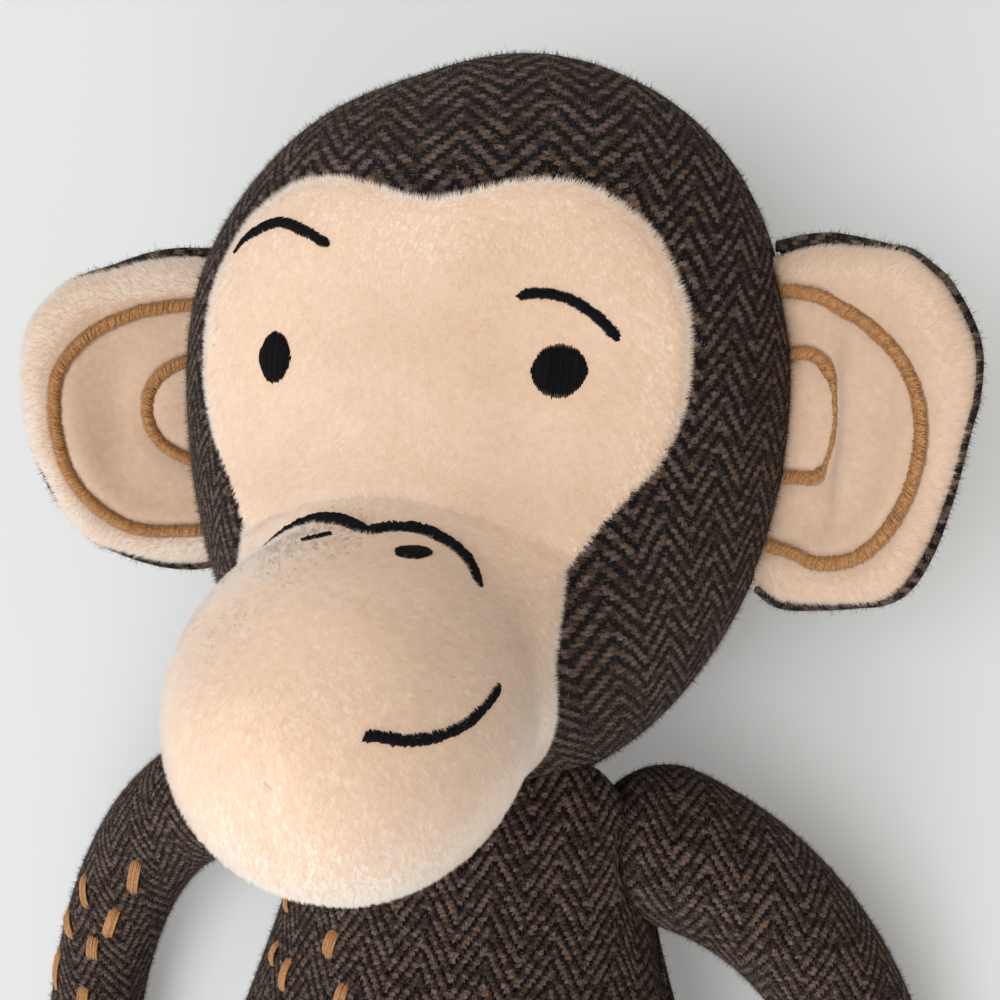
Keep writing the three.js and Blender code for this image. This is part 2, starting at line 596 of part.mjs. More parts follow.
// Legs and feet, each hung on its hip, with room above for the thigh when the toy sits
for (const [name, side] of [["left", 1], ["right", -1]]) {
  const hip = new THREE.Group();
  hip.name = `${name}_hip`;
  hip.position.set((side * HIP_SPACING) / 2, -HIP_DROP, LEG_ROOT_WIDTH / 2 + HIP_LIFT);
  toy.add(hip);
  const tilt = degToRad(FOOT_TILT);
  const heelReach = Math.hypot((FOOT_LENGTH / 2) * Math.cos(tilt), (FOOT_THICKNESS / 2) * Math.sin(tilt));
  const ankleFall = ANKLE_WIDTH / 2 - REST_FLAT - hip.position.z;
  const footAt = LEG_LENGTH + FOOT_THICKNESS / 2 - FOOT_TUCK;
  const footCentre = new THREE.Vector3(side * LEG_SPLAY, -footAt, heelReach - REST_FLAT - hip.position.z);
  const curve = new THREE.CubicBezierCurve3(
    new THREE.Vector3(),
    new THREE.Vector3(side * LEG_SPLAY * KNEE_SHARE, -LEG_LENGTH * KNEE_SHARE, ankleFall),
    new THREE.Vector3(side * LEG_SPLAY * ANKLE_SHARE, -LEG_LENGTH * ANKLE_SHARE, ankleFall),
    new THREE.Vector3(footCentre.x, footCentre.y, lerp(ankleFall, footCentre.z, HEEL_SHARE)),
  );
  const foot = {
    width: FOOT_WIDTH,
    thickness: FOOT_THICKNESS,
    length: FOOT_LENGTH,
    tilt: FOOT_TILT,
    centre: footCentre,
  };
  const names = { cover: `${name}_leg_cover`, end: `${name}_foot`, filling: `${name}_leg_stuffing` };
  addLimb(hip, names, { curve, rootWidth: LEG_ROOT_WIDTH, endWidth: ANKLE_WIDTH }, foot);
  const thighRoom = limbRoom(hip.position, LEG_ROOT_WIDTH / 2, new THREE.Vector3(0, 0, TORSO_DEPTH));
  sockets = sockets.add(ballRoom(hip.position, LEG_ROOT_WIDTH / 2)).add(thighRoom);
}

// Torso, cut by the balls that it carries
const torsoShell = torsoBody(0, ROUND).subtract(torsoBody(COVER, INNER_ROUND)).subtract(sockets);
const torsoFront = torsoShell.trimByPlane([0, 0, 1], TORSO_HEIGHT + SEAM / 2);
const torsoBack = torsoShell.trimByPlane([0, 0, -1], SEAM / 2 - TORSO_HEIGHT);
piece(toy, "torso_front_panel", torsoFront, tweed);
piece(toy, "torso_back_panel", torsoBack.trimByPlane([0, 0, 1], 0), tweed);
piece(toy, "torso_stuffing", torsoBody(packed, INNER_ROUND).subtract(sockets), fibre);

// The origin lies under the middle of the toy.
const box = new THREE.Box3().setFromObject(toy, true);
toy.position.y = -(box.min.y + box.max.y) / 2;

const monkey = new THREE.Group();
monkey.add(toy);
export default monkey;
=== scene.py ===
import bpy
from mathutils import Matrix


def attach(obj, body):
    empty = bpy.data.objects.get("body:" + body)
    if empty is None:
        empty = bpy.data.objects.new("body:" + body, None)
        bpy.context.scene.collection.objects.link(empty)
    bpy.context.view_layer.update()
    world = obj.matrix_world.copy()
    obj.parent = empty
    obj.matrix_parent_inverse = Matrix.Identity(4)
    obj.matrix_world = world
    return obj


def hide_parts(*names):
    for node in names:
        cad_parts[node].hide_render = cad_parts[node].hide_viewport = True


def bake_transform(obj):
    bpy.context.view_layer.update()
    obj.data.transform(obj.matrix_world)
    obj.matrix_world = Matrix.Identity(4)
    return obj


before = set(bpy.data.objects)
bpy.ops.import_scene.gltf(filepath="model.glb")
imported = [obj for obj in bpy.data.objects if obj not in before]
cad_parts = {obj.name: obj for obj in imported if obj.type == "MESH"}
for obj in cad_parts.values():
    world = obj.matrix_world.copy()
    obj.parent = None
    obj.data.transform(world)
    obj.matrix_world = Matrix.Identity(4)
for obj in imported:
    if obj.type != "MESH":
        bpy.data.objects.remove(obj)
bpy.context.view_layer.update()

import math

import bpy
import numpy as np
from mathutils import Matrix, Vector, kdtree

# Torso
# The body is two panels of herringbone tweed, front and back, sewn together along the sides and packed
# tight with loose fibre. The limbs and the neck press hollows into it where they are sewn on.
MM = 0.001
FLOOR = 0.15
NECK = np.array([0.0, 74.908, 46.394])
TORSO_AXIS_HEIGHT = 46.5
SEAT, BELLY, CHEST = -190.0, -122.0, -26.0
BELLY_HALF, CHEST_HALF, TORSO_DEPTH_SHARE, TORSO_RIGHT_SHARE = 76.0, 52.5, 0.625, 0.91
YOKE_LIP, FRONT_YOKE, BACK_YOKE = 38.0, (11.0, 9.0), (-7.0, -20.0)
SHOULDER = np.array([56.0, 62.908, 42.0])
HIP = np.array([42.0, -122.092, 24.0])
SHOULDER_ROOM, HIP_ROOM, NECK_ROOM = 22.0, 22.6, 27.6
CLOTH_WALL = 2.0
LIMB_FILL, END_FILL, HEAD_FILL, EAR_FILL = 0.85, 0.8, 0.9, 0.5
SEAM_TUCK, SEAM_WIDTH, FULLNESS, SWELL_REACH = 1.5, 2.6, 0.9, 14.0
HALF_REPEAT, BODY_WEAVE = 10.6, np.array([1.27, 0.8])


def lerp(a, b, share):
    return a + (b - a) * share


def smoothstep(value, low, high):
    share = np.clip((value - low) / (high - low), 0, 1)
    return share * share * (3 - 2 * share)


def unit(vectors):
    return vectors / np.maximum(np.linalg.norm(vectors, axis=-1, keepdims=True), 1e-9)


def bezier(points, count):
    """Points along a cubic curve from four handles."""
    t = np.linspace(0, 1, count)[:, None]
    a, b, c, d = (np.asarray(p, float) for p in points)
    return (1 - t) ** 3 * a + 3 * (1 - t) ** 2 * t * b + 3 * (1 - t) * t**2 * c + t**3 * d


def run_length(points):
    """Distance along a line of points, from its first."""
    steps = np.linalg.norm(np.diff(points, axis=0), axis=-1)
    return np.concatenate([np.zeros((1,) + steps.shape[1:]), np.cumsum(steps, axis=0)])


def at_places(places, run, points):
    """A line's points at places along its run."""
    return np.stack([np.interp(places, run, column) for column in points.T], axis=-1)


def evenly(points, count):
    """The same line with its points spread evenly along it."""
    run = run_length(points)
    return at_places(np.linspace(0, run[-1], count), run, points)


def press_ball(points, centre, radius):
    """Pushes cloth out of the round room of a neighbour."""
    away = points - centre
    far = np.linalg.norm(away, axis=-1, keepdims=True)
    return np.where(far < radius, centre + away / np.maximum(far, 1e-6) * radius, points)


def out_of(rows, inside):
    """Unit normals of rows of points, facing away from an inside point."""
    down = np.gradient(rows, axis=0)
    across = np.gradient(rows, axis=1)
    normals = unit(np.cross(across, down))
    if np.sum(normals * (rows - inside)) < 0:
        normals = -normals
    return normals


def points_of(mesh):
    points = np.empty(3 * len(mesh.vertices))
    mesh.vertices.foreach_get("co", points)
    return points.reshape(-1, 3)


def edit_whole(step, **options):
    """One editing step on the whole of the active mesh."""
    bpy.ops.object.mode_set(mode="EDIT")
    bpy.ops.mesh.select_all(action="SELECT")
    step(**options)
    bpy.ops.object.mode_set(mode="OBJECT")


def cloth_panel(name, rows, weave, inside, wall):
    """A sheet of cloth through rows of points, with the place of its weave, and a wall on its inner side."""
    count, across = rows.shape[:2]
    bpy.ops.object.select_all(action="DESELECT")
    bpy.ops.mesh.primitive_grid_add(x_subdivisions=across - 1, y_subdivisions=count - 1, size=2)
    sheet = bpy.context.object
    sheet.name = sheet.data.name = name
    mesh = sheet.data
    flat = points_of(mesh)
    column = np.rint((flat[:, 0] + 1) / 2 * (across - 1)).astype(int)
    row = np.rint((flat[:, 1] + 1) / 2 * (count - 1)).astype(int)
    mesh.vertices.foreach_set("co", (rows[row, column] * MM).ravel())
    corner = np.empty(len(mesh.loops), dtype=np.int32)
    mesh.loops.foreach_get("vertex_index", corner)
    layer = mesh.uv_layers.active
    layer.name = "Weave"
    layer.data.foreach_set("uv", (weave[row, column][corner] / HALF_REPEAT).ravel())
    mesh.update()
    edit_whole(bpy.ops.mesh.remove_doubles, threshold=2e-5)
    facing = sum(f.normal.dot(f.center) * f.area - f.normal.dot(inside * MM) * f.area for f in mesh.polygons)
    if facing < 0:
        edit_whole(bpy.ops.mesh.flip_normals)
    lining = sheet.modifiers.new("wall", "SOLIDIFY")
    lining.thickness = wall * MM
    lining.offset = -1
    bpy.ops.object.modifier_apply(modifier=lining.name)
    points = points_of(mesh)
    points[:, 2] = np.maximum(points[:, 2], FLOOR * MM / 2)
    mesh.vertices.foreach_set("co", points.ravel())
    bpy.ops.object.shade_smooth_by_angle(angle=math.radians(60))
    return sheet


def add_node(tree, kind, inputs=None, **settings):
    """A shader node with its settings, and with values or links on its inputs."""
    made = tree.nodes.new(kind)
    for setting, value in settings.items():
        setattr(made, setting, value)
    for socket, value in (inputs or {}).items():
        if isinstance(value, Term):
            value = value.socket
        if isinstance(value, bpy.types.NodeSocket):
            tree.links.new(value, made.inputs[socket])
        else:
            made.inputs[socket].default_value = value
    return made


class Term:
    """A value in a node tree, so that sums of values are written as sums."""
    def __init__(self, tree, socket):
        self.tree, self.socket = tree, socket

    def work(self, operation, *values):
        made = add_node(self.tree, "ShaderNodeMath", dict(enumerate(values)), operation=operation)
        return Term(self.tree, made.outputs[0])

    def __add__(self, other):
        return self.work("ADD", self, other)

    def __sub__(self, other):
        return self.work("SUBTRACT", self, other)

    def __rsub__(self, other):
        return self.work("SUBTRACT", other, self)

    def __mul__(self, other):
        return self.work("MULTIPLY", self, other)

    def __truediv__(self, other):
        return self.work("DIVIDE", self, other)

    def floor(self):
        return self.work("FLOOR", self)

    def fract(self):
        return self.work("FRACT", self)

    def spread(self, low, high):
        """0 at low, 1 at high, and kept between these."""
        made = add_node(self.tree, "ShaderNodeMapRange", {"Value": self, "From Min": low, "From Max": high})
        return Term(self.tree, made.outputs[0])


def new_group(name, inputs, outputs):
    """An empty node group with its sockets, and its input and output nodes."""
    group = bpy.data.node_groups.new(name, "ShaderNodeTree")
    for way, sockets in (("INPUT", inputs), ("OUTPUT", outputs)):
        for socket, kind in sockets.items():
            group.interface.new_socket(socket, in_out=way, socket_type="NodeSocket" + kind)
    return group, group.nodes.new("NodeGroupInput"), group.nodes.new("NodeGroupOutput")


def noise(tree, at, scale, detail, roughness=0.5):
    return add_node(
        tree, "ShaderNodeTexNoise", {"Vector": at, "Scale": scale, "Detail": detail, "Roughness": roughness})


def noise_term(tree, at, scale, detail, roughness=0.5):
    return Term(tree, noise(tree, at, scale, detail, roughness).outputs["Fac"])


def vector_work(tree, operation, *values):
    return add_node(tree, "ShaderNodeVectorMath", dict(enumerate(values)), operation=operation).outputs[0]


def scaled(tree, vector, share):
    return add_node(tree, "ShaderNodeVectorMath", {0: vector, "Scale": share}, operation="SCALE").outputs[0]


def attribute(tree, name):
    return Term(tree, add_node(tree, "ShaderNodeAttribute", attribute_name=name).outputs["Fac"])


def soft_ramp(tree, value, stops):
    ramp = add_node(tree, "ShaderNodeValToRGB", {"Fac": value})
    while len(ramp.color_ramp.elements) < len(stops):
        ramp.color_ramp.elements.new(0.5)
    for element, (place, colour) in zip(ramp.color_ramp.elements, stops):
        element.position = place
        element.color = (*colour, 1)
    return ramp.outputs["Color"]


def herringbone_group():
    """Twill of brown floats over a navy ground, turned back on itself in columns."""
    group, given, result = new_group(
        "herringbone tweed", {"Cloth": "Vector", "Threads": "Float", "Ground": "Float", "Gap": "Float"},
        {"Color": "Color", "Height": "Float"})
    cloth = given.outputs["Cloth"]
    threads, bare, gap = (Term(group, given.outputs[name]) for name in ("Threads", "Ground", "Gap"))
    repeat, half_float, middle = 4.0, 0.27, (0.5, 0.5, 0.5)
    waver, fine = noise(group, cloth, 1.7, 2.0), noise(group, cloth, 13.0, 3.0)
    at = cloth
    for shake, reach in ((waver, (0.14, 0.14, 0.0)), (fine, (0.15, 0.11, 0.0))):
        shift = vector_work(group, "SUBTRACT", shake.outputs["Color"], middle)
        at = vector_work(group, "MULTIPLY_ADD", shift, reach, at)
    place = add_node(group, "ShaderNodeSeparateXYZ", {0: at})
    x, y = (Term(group, place.outputs[axis]) for axis in "XY")
    across, along = x * threads, y * threads
    row = along.floor()
    diagonal = (across.work("PINGPONG", across, threads) + row) / repeat
    end = (diagonal.fract() - half_float) / half_float
    edge = along.fract() * 2.0 - 1.0
    end_away, edge_away = end * end, edge * edge
    wool = noise_term(group, vector_work(group, "MULTIPLY", at, (15.0, 30.0, 1.0)), 1.0, 4.0, 0.65).spread(0.35, 0.65)
    over = (end_away * 0.85 + edge_away * gap + (wool - 0.5) * 1.4).spread(1.4, 0.5)
    crown = 1.0 - (edge_away * 0.3 + end_away * 0.25)
    name = add_node(group, "ShaderNodeCombineXYZ", {"X": diagonal.floor(), "Y": row, "Z": x.floor()})
    draw = add_node(group, "ShaderNodeTexWhiteNoise", {"Vector": name.outputs[0]}, noise_dimensions="3D")
    blend = noise_term(group, cloth, 5.5, 3.0).spread(0.32, 0.68)
    brown = soft_ramp(group, Term(group, draw.outputs["Value"]) * 0.65 + blend * 0.35, [
        (0.0, (0.023, 0.015, 0.013)), (0.25, (0.046, 0.029, 0.024)), (0.45, (0.077, 0.051, 0.04)),
        (0.58, (0.14, 0.098, 0.068)), (0.68, (0.115, 0.08, 0.086)), (0.78, (0.18, 0.138, 0.116)),
        (0.87, (0.165, 0.078, 0.042)), (1.0, (0.135, 0.106, 0.042))])
    navy = soft_ramp(group, waver.outputs["Fac"], [
        (0.3, (0.005, 0.006, 0.013)), (0.48, (0.006, 0.005, 0.006)), (0.75, (0.011, 0.007, 0.006))])
    # Each float's colour is darker towards its ends and edges: painted shade of the rounded yarn. The wool noise is
    # its grain.
    lit = scaled(group, brown, (crown + 0.12) * (wool * 1.75 + 0.18))
    sunk = scaled(group, navy, wool + 0.5)
    seen = over * (1.0 - bare) + bare
    mixed = add_node(group, "ShaderNodeMix", {"Factor": seen, "A": sunk, "B": lit}, data_type="VECTOR")
    group.links.new(mixed.outputs["Result"], result.inputs["Color"])
    group.links.new((over * crown * 0.8 + wool * 0.6).socket, result.inputs["Height"])
    return group


HERRINGBONE = herringbone_group()


def new_finish(name, levels):
    """A material with constant levels on its skin."""
    finish = bpy.data.materials.new(name)
    finish.use_nodes = True
    tree = finish.node_tree
    skin = tree.nodes["Principled BSDF"]
    for level, value in levels.items():
        skin.inputs[level].default_value = value
    return finish, tree, skin


def tweed_finish(name, threads, ground, gap):
    """Woven brown and navy wool with a light nap."""
    finish, tree, skin = new_finish(name, {
        "Roughness": 0.92, "Specular IOR Level": 0.05, "Sheen Weight": 0.06, "Sheen Roughness": 0.5,
        "Sheen Tint": (0.74, 0.64, 0.58, 1)})
    cloth = add_node(tree, "ShaderNodeUVMap", uv_map="Weave")
    weave = add_node(tree, "ShaderNodeGroup", node_tree=HERRINGBONE)
    tree.links.new(cloth.outputs["UV"], weave.inputs["Cloth"])
    for share, value in (("Threads", threads), ("Ground", ground), ("Gap", gap)):
        weave.inputs[share].default_value = value
    bump = add_node(
        tree, "ShaderNodeBump", {"Strength": 0.8, "Distance": 0.0007, "Height": weave.outputs["Height"]})
    tree.links.new(weave.outputs["Color"], skin.inputs["Base Color"])
    tree.links.new(bump.outputs["Normal"], skin.inputs["Normal"])
    return finish


TWEED = tweed_finish("herringbone tweed", 8.0, 0.0, 0.14)
BODY_TWEED = tweed_finish("fine herringbone tweed", 11.0, 0.45, 0.4)


def dress(piece, finish, body=None):
    """Gives a piece its finish and the body that it moves with."""
    piece.data.materials.clear()
    piece.data.materials.append(finish)
    if body:
        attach(piece, body)


def sew_cover(name, rows, weave, inside, finish, slot, body, fill, *nodes, wall=CLOTH_WALL):
    """A stuffed cover of cloth, which takes the place of the part's own nodes."""
    cover = cloth_panel(name, rows, weave, inside, wall)
    dress(cover, finish, body)
    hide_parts(*nodes)
    return cover


def add_object(name, data):
    made = bpy.data.objects.new(name, data)
    bpy.context.scene.collection.objects.link(made)
    return made


def mark(mesh, name, values, kind="FLOAT", part="value"):
    """Gives each point of a mesh a value that its finish can read."""
    mesh.attributes.new(name, kind, "POINT").data.foreach_set(part, values)


def cell_areas(rows):
    """Twice the area of each cell between rows of points."""
    a, b, c, d = rows[:-1, :-1], rows[:-1, 1:], rows[1:, :-1], rows[1:, 1:]
    return np.linalg.norm(np.cross(b - a, c - a), axis=-1) + np.linalg.norm(np.cross(b - d, c - d), axis=-1)


def scatter(rows, per_cm2, most, rng):
    """Random places spread evenly over rows of points, as a way to read any values given at those points."""
    area = cell_areas(rows)
    count = int(min(area.sum() / 200 * per_cm2, most))
    cell = rng.choice(area.size, count, p=area.ravel() / area.sum())
    i, j = np.divmod(cell, area.shape[1])
    u, v = rng.random((2, count))

    def read(values):
        shape = (count,) + (1,) * (values.ndim - 2)
        s, t = u.reshape(shape), v.reshape(shape)
        top = lerp(values[i, j], values[i, j + 1], s)
        return lerp(top, lerp(values[i + 1, j], values[i + 1, j + 1], s), t)

    return read, np.stack([(j + u) / area.shape[1], (i + v) / area.shape[0]], axis=1)


ROOT_DEPTH, BLADE_TURN, BLADE_LIFT, BLADE_CHART = 0.35, 0.18, 0.3, [[0.0, 0.0], [0.003, 0.0], [0.0015, 0.003]]


def blades(name, roots, normals, leans, lengths, widths, tuft, place, rng):
    """Fibres of a cloth: one slim blade for each root, leaning its own way, in one mesh."""
    count = len(roots)
    way = unit(normals + leans)
    side = unit(unit(np.cross(way, normals)) + rng.normal(0, BLADE_TURN, (count, 3)))
    side = unit(side - way * np.sum(side * way, axis=1, keepdims=True))
    half = side * (widths / 2)[:, None]
    base = roots - ROOT_DEPTH * normals
    points = np.stack([base - half, base + half, base + way * (lengths + ROOT_DEPTH)[:, None]], axis=1)
    points[..., 2] = np.maximum(points[..., 2], FLOOR / 2)
    mesh = bpy.data.meshes.new(name)
    mesh.from_pydata(points.reshape(-1, 3) * MM, [], np.arange(3 * count).reshape(-1, 3))
    mark(mesh, "tip", np.tile([0.0, 0.0, 1.0], count))
    mark(mesh, "tuft", np.repeat(tuft, 3))
    chart = mesh.uv_layers.new(name="OFBake")
    chart.data.foreach_set("uv", (place[:, None, :] * 0.99 + np.array(BLADE_CHART)).ravel())
    mesh.update()
    mesh.shade_smooth()
    facing = np.repeat(unit(normals + BLADE_LIFT * way), 3, axis=0)
    mesh.normals_split_custom_set_from_vertices(facing.tolist())
    mark(mesh, "cloth_out", facing.ravel(), "FLOAT_VECTOR", "vector")
    return add_object(name, mesh)


def light_as_cloth(finish, tree, skin):
    """Lights thin blades as the cloth that they stand on, whichever way each one turns."""
    finish.cycles.use_bump_map_correction = False
    skin.inputs["Transmission Weight"].default_value = 0.03
    facing = add_node(tree, "ShaderNodeAttribute", attribute_name="cloth_out")
    turned = add_node(
        tree, "ShaderNodeVectorTransform", {0: facing.outputs["Vector"]},
        vector_type="NORMAL", convert_from="OBJECT", convert_to="WORLD")
    tree.links.new(turned.outputs[0], skin.inputs["Normal"])


def fuzz_finish():
    finish, tree, skin = new_finish("tweed fuzz", {"Roughness": 0.9, "Specular IOR Level": 0.1})
    light_as_cloth(finish, tree, skin)
    colour = soft_ramp(tree, attribute(tree, "tuft"), [
        (0.0, (0.025, 0.018, 0.015)), (0.4, (0.075, 0.054, 0.042)),
        (0.75, (0.15, 0.115, 0.088)), (1.0, (0.27, 0.22, 0.17))])
    tree.links.new(colour, skin.inputs["Base Color"])
    return finish


FUZZ = fuzz_finish()
FUZZ_PER_CM2, THIN_FUZZ_PER_CM2, FUZZ_MOST = 300, 110, 95000
FUZZ_WIDTH, FUZZ_LEAST, FUZZ_GROWTH, FUZZ_SPLAY = 0.15, 0.5, (2.0, 0.33), 0.9


def lay_fuzz(name, rows, inside, body, seed, per_cm2=FUZZ_PER_CM2):
    """The loose hairs that stand up from tweed."""
    rng = np.random.default_rng(seed)
    read, place = scatter(rows, per_cm2, FUZZ_MOST, rng)
    count = len(place)
    normals = unit(read(out_of(rows, inside)))
    lengths = FUZZ_LEAST + rng.gamma(*FUZZ_GROWTH, count)
    leans = rng.normal(0, FUZZ_SPLAY, (count, 3))
    widths = np.full(count, FUZZ_WIDTH)
    hairs = blades(name, read(rows), normals, leans, lengths, widths, rng.random(count), place, rng)
    hairs.visible_shadow = False
    dress(hairs, FUZZ, body)
    return hairs


def torso_outline(yoke_top, yoke_angle):
    """Half widths and heights from the seat up to the yoke, over its lip and down round the neck's roll."""
    flank, armpit = lerp(BELLY, CHEST, 0.4), lerp(BELLY, CHEST, 0.6)
    waist = lerp(BELLY_HALF, CHEST_HALF, 0.6)
    hip = (BELLY_HALF, lerp(SEAT, BELLY, 0.4))
    collar = (CHEST_HALF, lerp(CHEST, yoke_top, 0.7))
    seat = bezier([(0, SEAT), (BELLY_HALF * 0.6, SEAT), hip, (BELLY_HALF, BELLY)], 60)
    side = bezier([(BELLY_HALF, BELLY), (BELLY_HALF, flank), (waist, armpit), (CHEST_HALF, CHEST)], 60)
    yoke = bezier([(CHEST_HALF, CHEST), collar, (CHEST_HALF - 4, yoke_top), (YOKE_LIP, yoke_top)], 40)
    angle = np.radians(np.linspace(yoke_angle, -90, 40))
    dish = NECK_ROOM * np.stack([np.cos(angle), np.sin(angle)], axis=1)
    lip = bezier([(YOKE_LIP, yoke_top), (YOKE_LIP - 4, yoke_top), dish[0] + (2.5, 3), dish[0]], 20)
    return evenly(np.concatenate([seat, side[1:], yoke[1:], lip[1:], dish[1:]]), 150)


def torso_rows(first, last, count=90):
    """Rows of points of one torso panel, between two angles about the body's length."""
    angles = np.radians(np.linspace(first, last, count))
    raised = smoothstep(np.cos(angles), 0.0, 0.5)[None, :, None]
    outline = lerp(torso_outline(*BACK_YOKE)[:, None], torso_outline(*FRONT_YOKE)[:, None], raised)
    half, height = outline[..., 0], outline[..., 1]
    above = np.arange(len(outline))[:, None] > np.argmax(height > CHEST, axis=0)
    depth = np.where(above, lerp(1, TORSO_DEPTH_SHARE, smoothstep(half, NECK_ROOM, CHEST_HALF)), TORSO_DEPTH_SHARE)
    x = half * np.where(np.sin(angles) < 0, TORSO_RIGHT_SHARE, 1) * np.sin(angles)
    z = half * depth * np.cos(angles) + TORSO_AXIS_HEIGHT
    return np.stack([x, height + NECK[1], z], axis=-1)


def ease_seams(rows, normals, near, tuck=SEAM_TUCK, width=SEAM_WIDTH, fullness=FULLNESS):
    """Draws cloth in at its seams and lets it swell between them; near holds distances to the seams."""
    drawn = sum(np.exp(-((d / width) ** 2)) for d in near)
    swell = np.prod([1 - np.exp(-d / SWELL_REACH) for d in near], axis=0)
    return rows + normals * (fullness * swell - tuck * drawn)[..., None]


def hollow_torso(rows):
    for side in (-1, 1):
        flip = np.array([side, 1, 1])
        rows = press_ball(rows, SHOULDER * flip, SHOULDER_ROOM)
        rows = press_ball(rows, HIP * flip, HIP_ROOM)
        away = rows[..., :2] - (HIP * flip)[:2]
        far = np.linalg.norm(away, axis=-1)
        pressed = (far < HIP_ROOM) & (rows[..., 2] > HIP[2])
        share = np.where(pressed, HIP_ROOM / np.maximum(far, 1e-6), 1)[..., None]
        rows = np.concatenate([(HIP * flip)[:2] + away * share, rows[..., 2:]], axis=-1)
    rows = press_ball(rows, NECK, NECK_ROOM)
    rows[..., 2] = np.maximum(rows[..., 2], FLOOR)
    return rows


torso_inside = np.array([0, NECK[1] + BELLY, TORSO_AXIS_HEIGHT])
for panel, first, last, hairs, nodes in (
        ("torso_front", -90, 90, FUZZ_PER_CM2, ["torso_front_panel", "torso_stuffing"]),
        ("torso_back", 90, 270, THIN_FUZZ_PER_CM2, ["torso_back_panel"])):
    rows = torso_rows(first, last)
    middle = rows.shape[1] // 2
    left = np.swapaxes(run_length(np.swapaxes(rows, 0, 1)), 0, 1)
    along = run_length(rows[:, middle])[:, None]
    weave = np.stack([left - left[:, [middle]], np.broadcast_to(along, left.shape)], axis=-1) * BODY_WEAVE
    rows = ease_seams(rows, out_of(rows, torso_inside), [left, left[:, -1:] - left])
    rows = hollow_torso(rows)
    if panel == "torso_front":
        torso_front = rows, torso_inside
    sew_cover(panel, rows, weave, torso_inside, BODY_TWEED, "tweed", "torso", LIMB_FILL, *nodes)
    lay_fuzz(panel + "_fuzz", rows, torso_inside, "torso", seed=11, per_cm2=hairs)

# Arms
# Each arm is one curved sleeve of the same tweed, cut with its columns up and down the cloth, sewn into a
# tube, stuffed and set into the torso at the shoulder. Its root turns in the hollow there.
ARM_ROOT, WRIST = 21.5, {"left": 16.0, "right": 14.0}
ARM_HANDLES = {
    "left": np.array([(0, 0, 0), (46, -12, -5), (71, -64, -27), (64.5, -144, -27)], float),
    "right": np.array([(0, 0, 0), (50, 6, -5), (84, -62, -27), (71, -144, -27)], float)}
SIDES = {"left": 1, "right": -1}
cloth_rows = {}


def limb_rows(handles, root, end, last, count=80, around=57):
    """Rows of points round a stuffed limb, with a round root, and where each lies on its flat cloth."""
    steps = np.arange(161)
    line = evenly(bezier(handles, 200), len(steps))
    tangents = unit(np.gradient(line, axis=0))
    shares = np.concatenate([np.linspace(-1, 0, 15)[:-1], np.linspace(0, last, count)])
    angles = np.linspace(-math.pi, math.pi, around)
    rows, flats = [], []
    for share in shares:
        at = np.clip(share, 0, 1) * steps[-1]
        centre = at_places(at, steps, line)
        forward = unit(at_places(at, steps, tangents))
        side = unit(np.cross(forward, [0, 0, 1.0]))
        top = np.cross(side, forward)
        if share < 0:
            radius = root * math.sqrt(max(1 - share * share, 0))
            centre = centre + forward * root * share
        else:
            radius = lerp(end, root, (1 - share) ** 3)
        ring = centre + radius * (np.sin(angles)[:, None] * side + np.cos(angles)[:, None] * top)
        rows.append(ring)
        flats.append(centre[:2] + (angles * max(radius, 4))[:, None] * side[:2])
    return np.array(rows), np.array(flats)


def sew_limb(name, handles, root, end, last, at, seed, per_cm2):
    """Sews, stuffs and dresses one arm or leg, with its root in the torso's hollow."""
    rows, flats = limb_rows(handles, root, end, last)
    rows = rows + at
    rows[..., 2] = np.maximum(rows[..., 2], FLOOR)
    inside = rows.mean(axis=(0, 1))
    sew_cover(
        name, rows, (flats + at[:2]) * BODY_WEAVE, inside, BODY_TWEED, "tweed", name, LIMB_FILL,
        f"{name}_cover", f"{name}_stuffing")
    lay_fuzz(f"{name}_fuzz", rows, inside, name, seed, per_cm2)
    return rows, inside


for name, side in SIDES.items():
    flip = np.array([side, 1, 1])
    cloth_rows[f"{name}_arm"] = sew_limb(
        f"{name}_arm", ARM_HANDLES[name] * flip, ARM_ROOT, WRIST[name], 0.83, SHOULDER * flip, 21, FUZZ_PER_CM2)

# Hands and feet
# The ends of the limbs are bags of peach plush, sewn round the sleeve's end and stuffed with it. They are
# outside the photograph, so they keep to plain mittens and soles that stand up.
HAND_HALF = np.array([20.0, 31.0, 16.5])
FOOT_HALF = np.array([25.0, 24.0, 35.0])
FOOT_TILT = math.radians(14)
PILE_LENGTH, PILE_WIDTH, PILE_MOST, TUFT_FIBRES = 1.5, 0.17, 195000, 14
PILE_LEAN, LEAST_LEAN, TUFT_SPLAY, FIBRE_SPLAY = 1.35, 1.0, 0.4, 0.15
SWAY_WAVES, SWAY_REACH, TUFT_TONE, TUFT_SHARE = 6, 0.1, 0.45, 0.85
FRINGE_REACH, FRINGE_LEAN, FRINGE_SPLAY, FRINGE_HIGHLIGHT = 1.1, 1.5, 0.5, 0.5
LIMB_PILE_PER_CM2, LIMB_PILE_LENGTH, LIMB_PILE_WIDTH = 520, 1.7, 0.23


def plush_tone_group():
    """The soft mottling of brushed pile."""
    group, given, result = new_group("brushed plush", {"Place": "Vector", "Lift": "Float"}, {"Color": "Color"})
    broad = noise_term(group, given.outputs["Place"], 38.0, 3.0)
    small = noise_term(group, given.outputs["Place"], 480.0, 2.0)
    tone = broad * 0.4 + small * 0.3 + Term(group, given.outputs["Lift"]) * 0.6
    colour = soft_ramp(group, tone, [
        (0.25, (0.68, 0.46, 0.32)), (0.5, (0.81, 0.585, 0.425)),
        (0.72, (0.87, 0.675, 0.525)), (1.0, (0.95, 0.87, 0.79))])
    group.links.new(colour, result.inputs["Color"])
    return group


PLUSH_TONE = plush_tone_group()


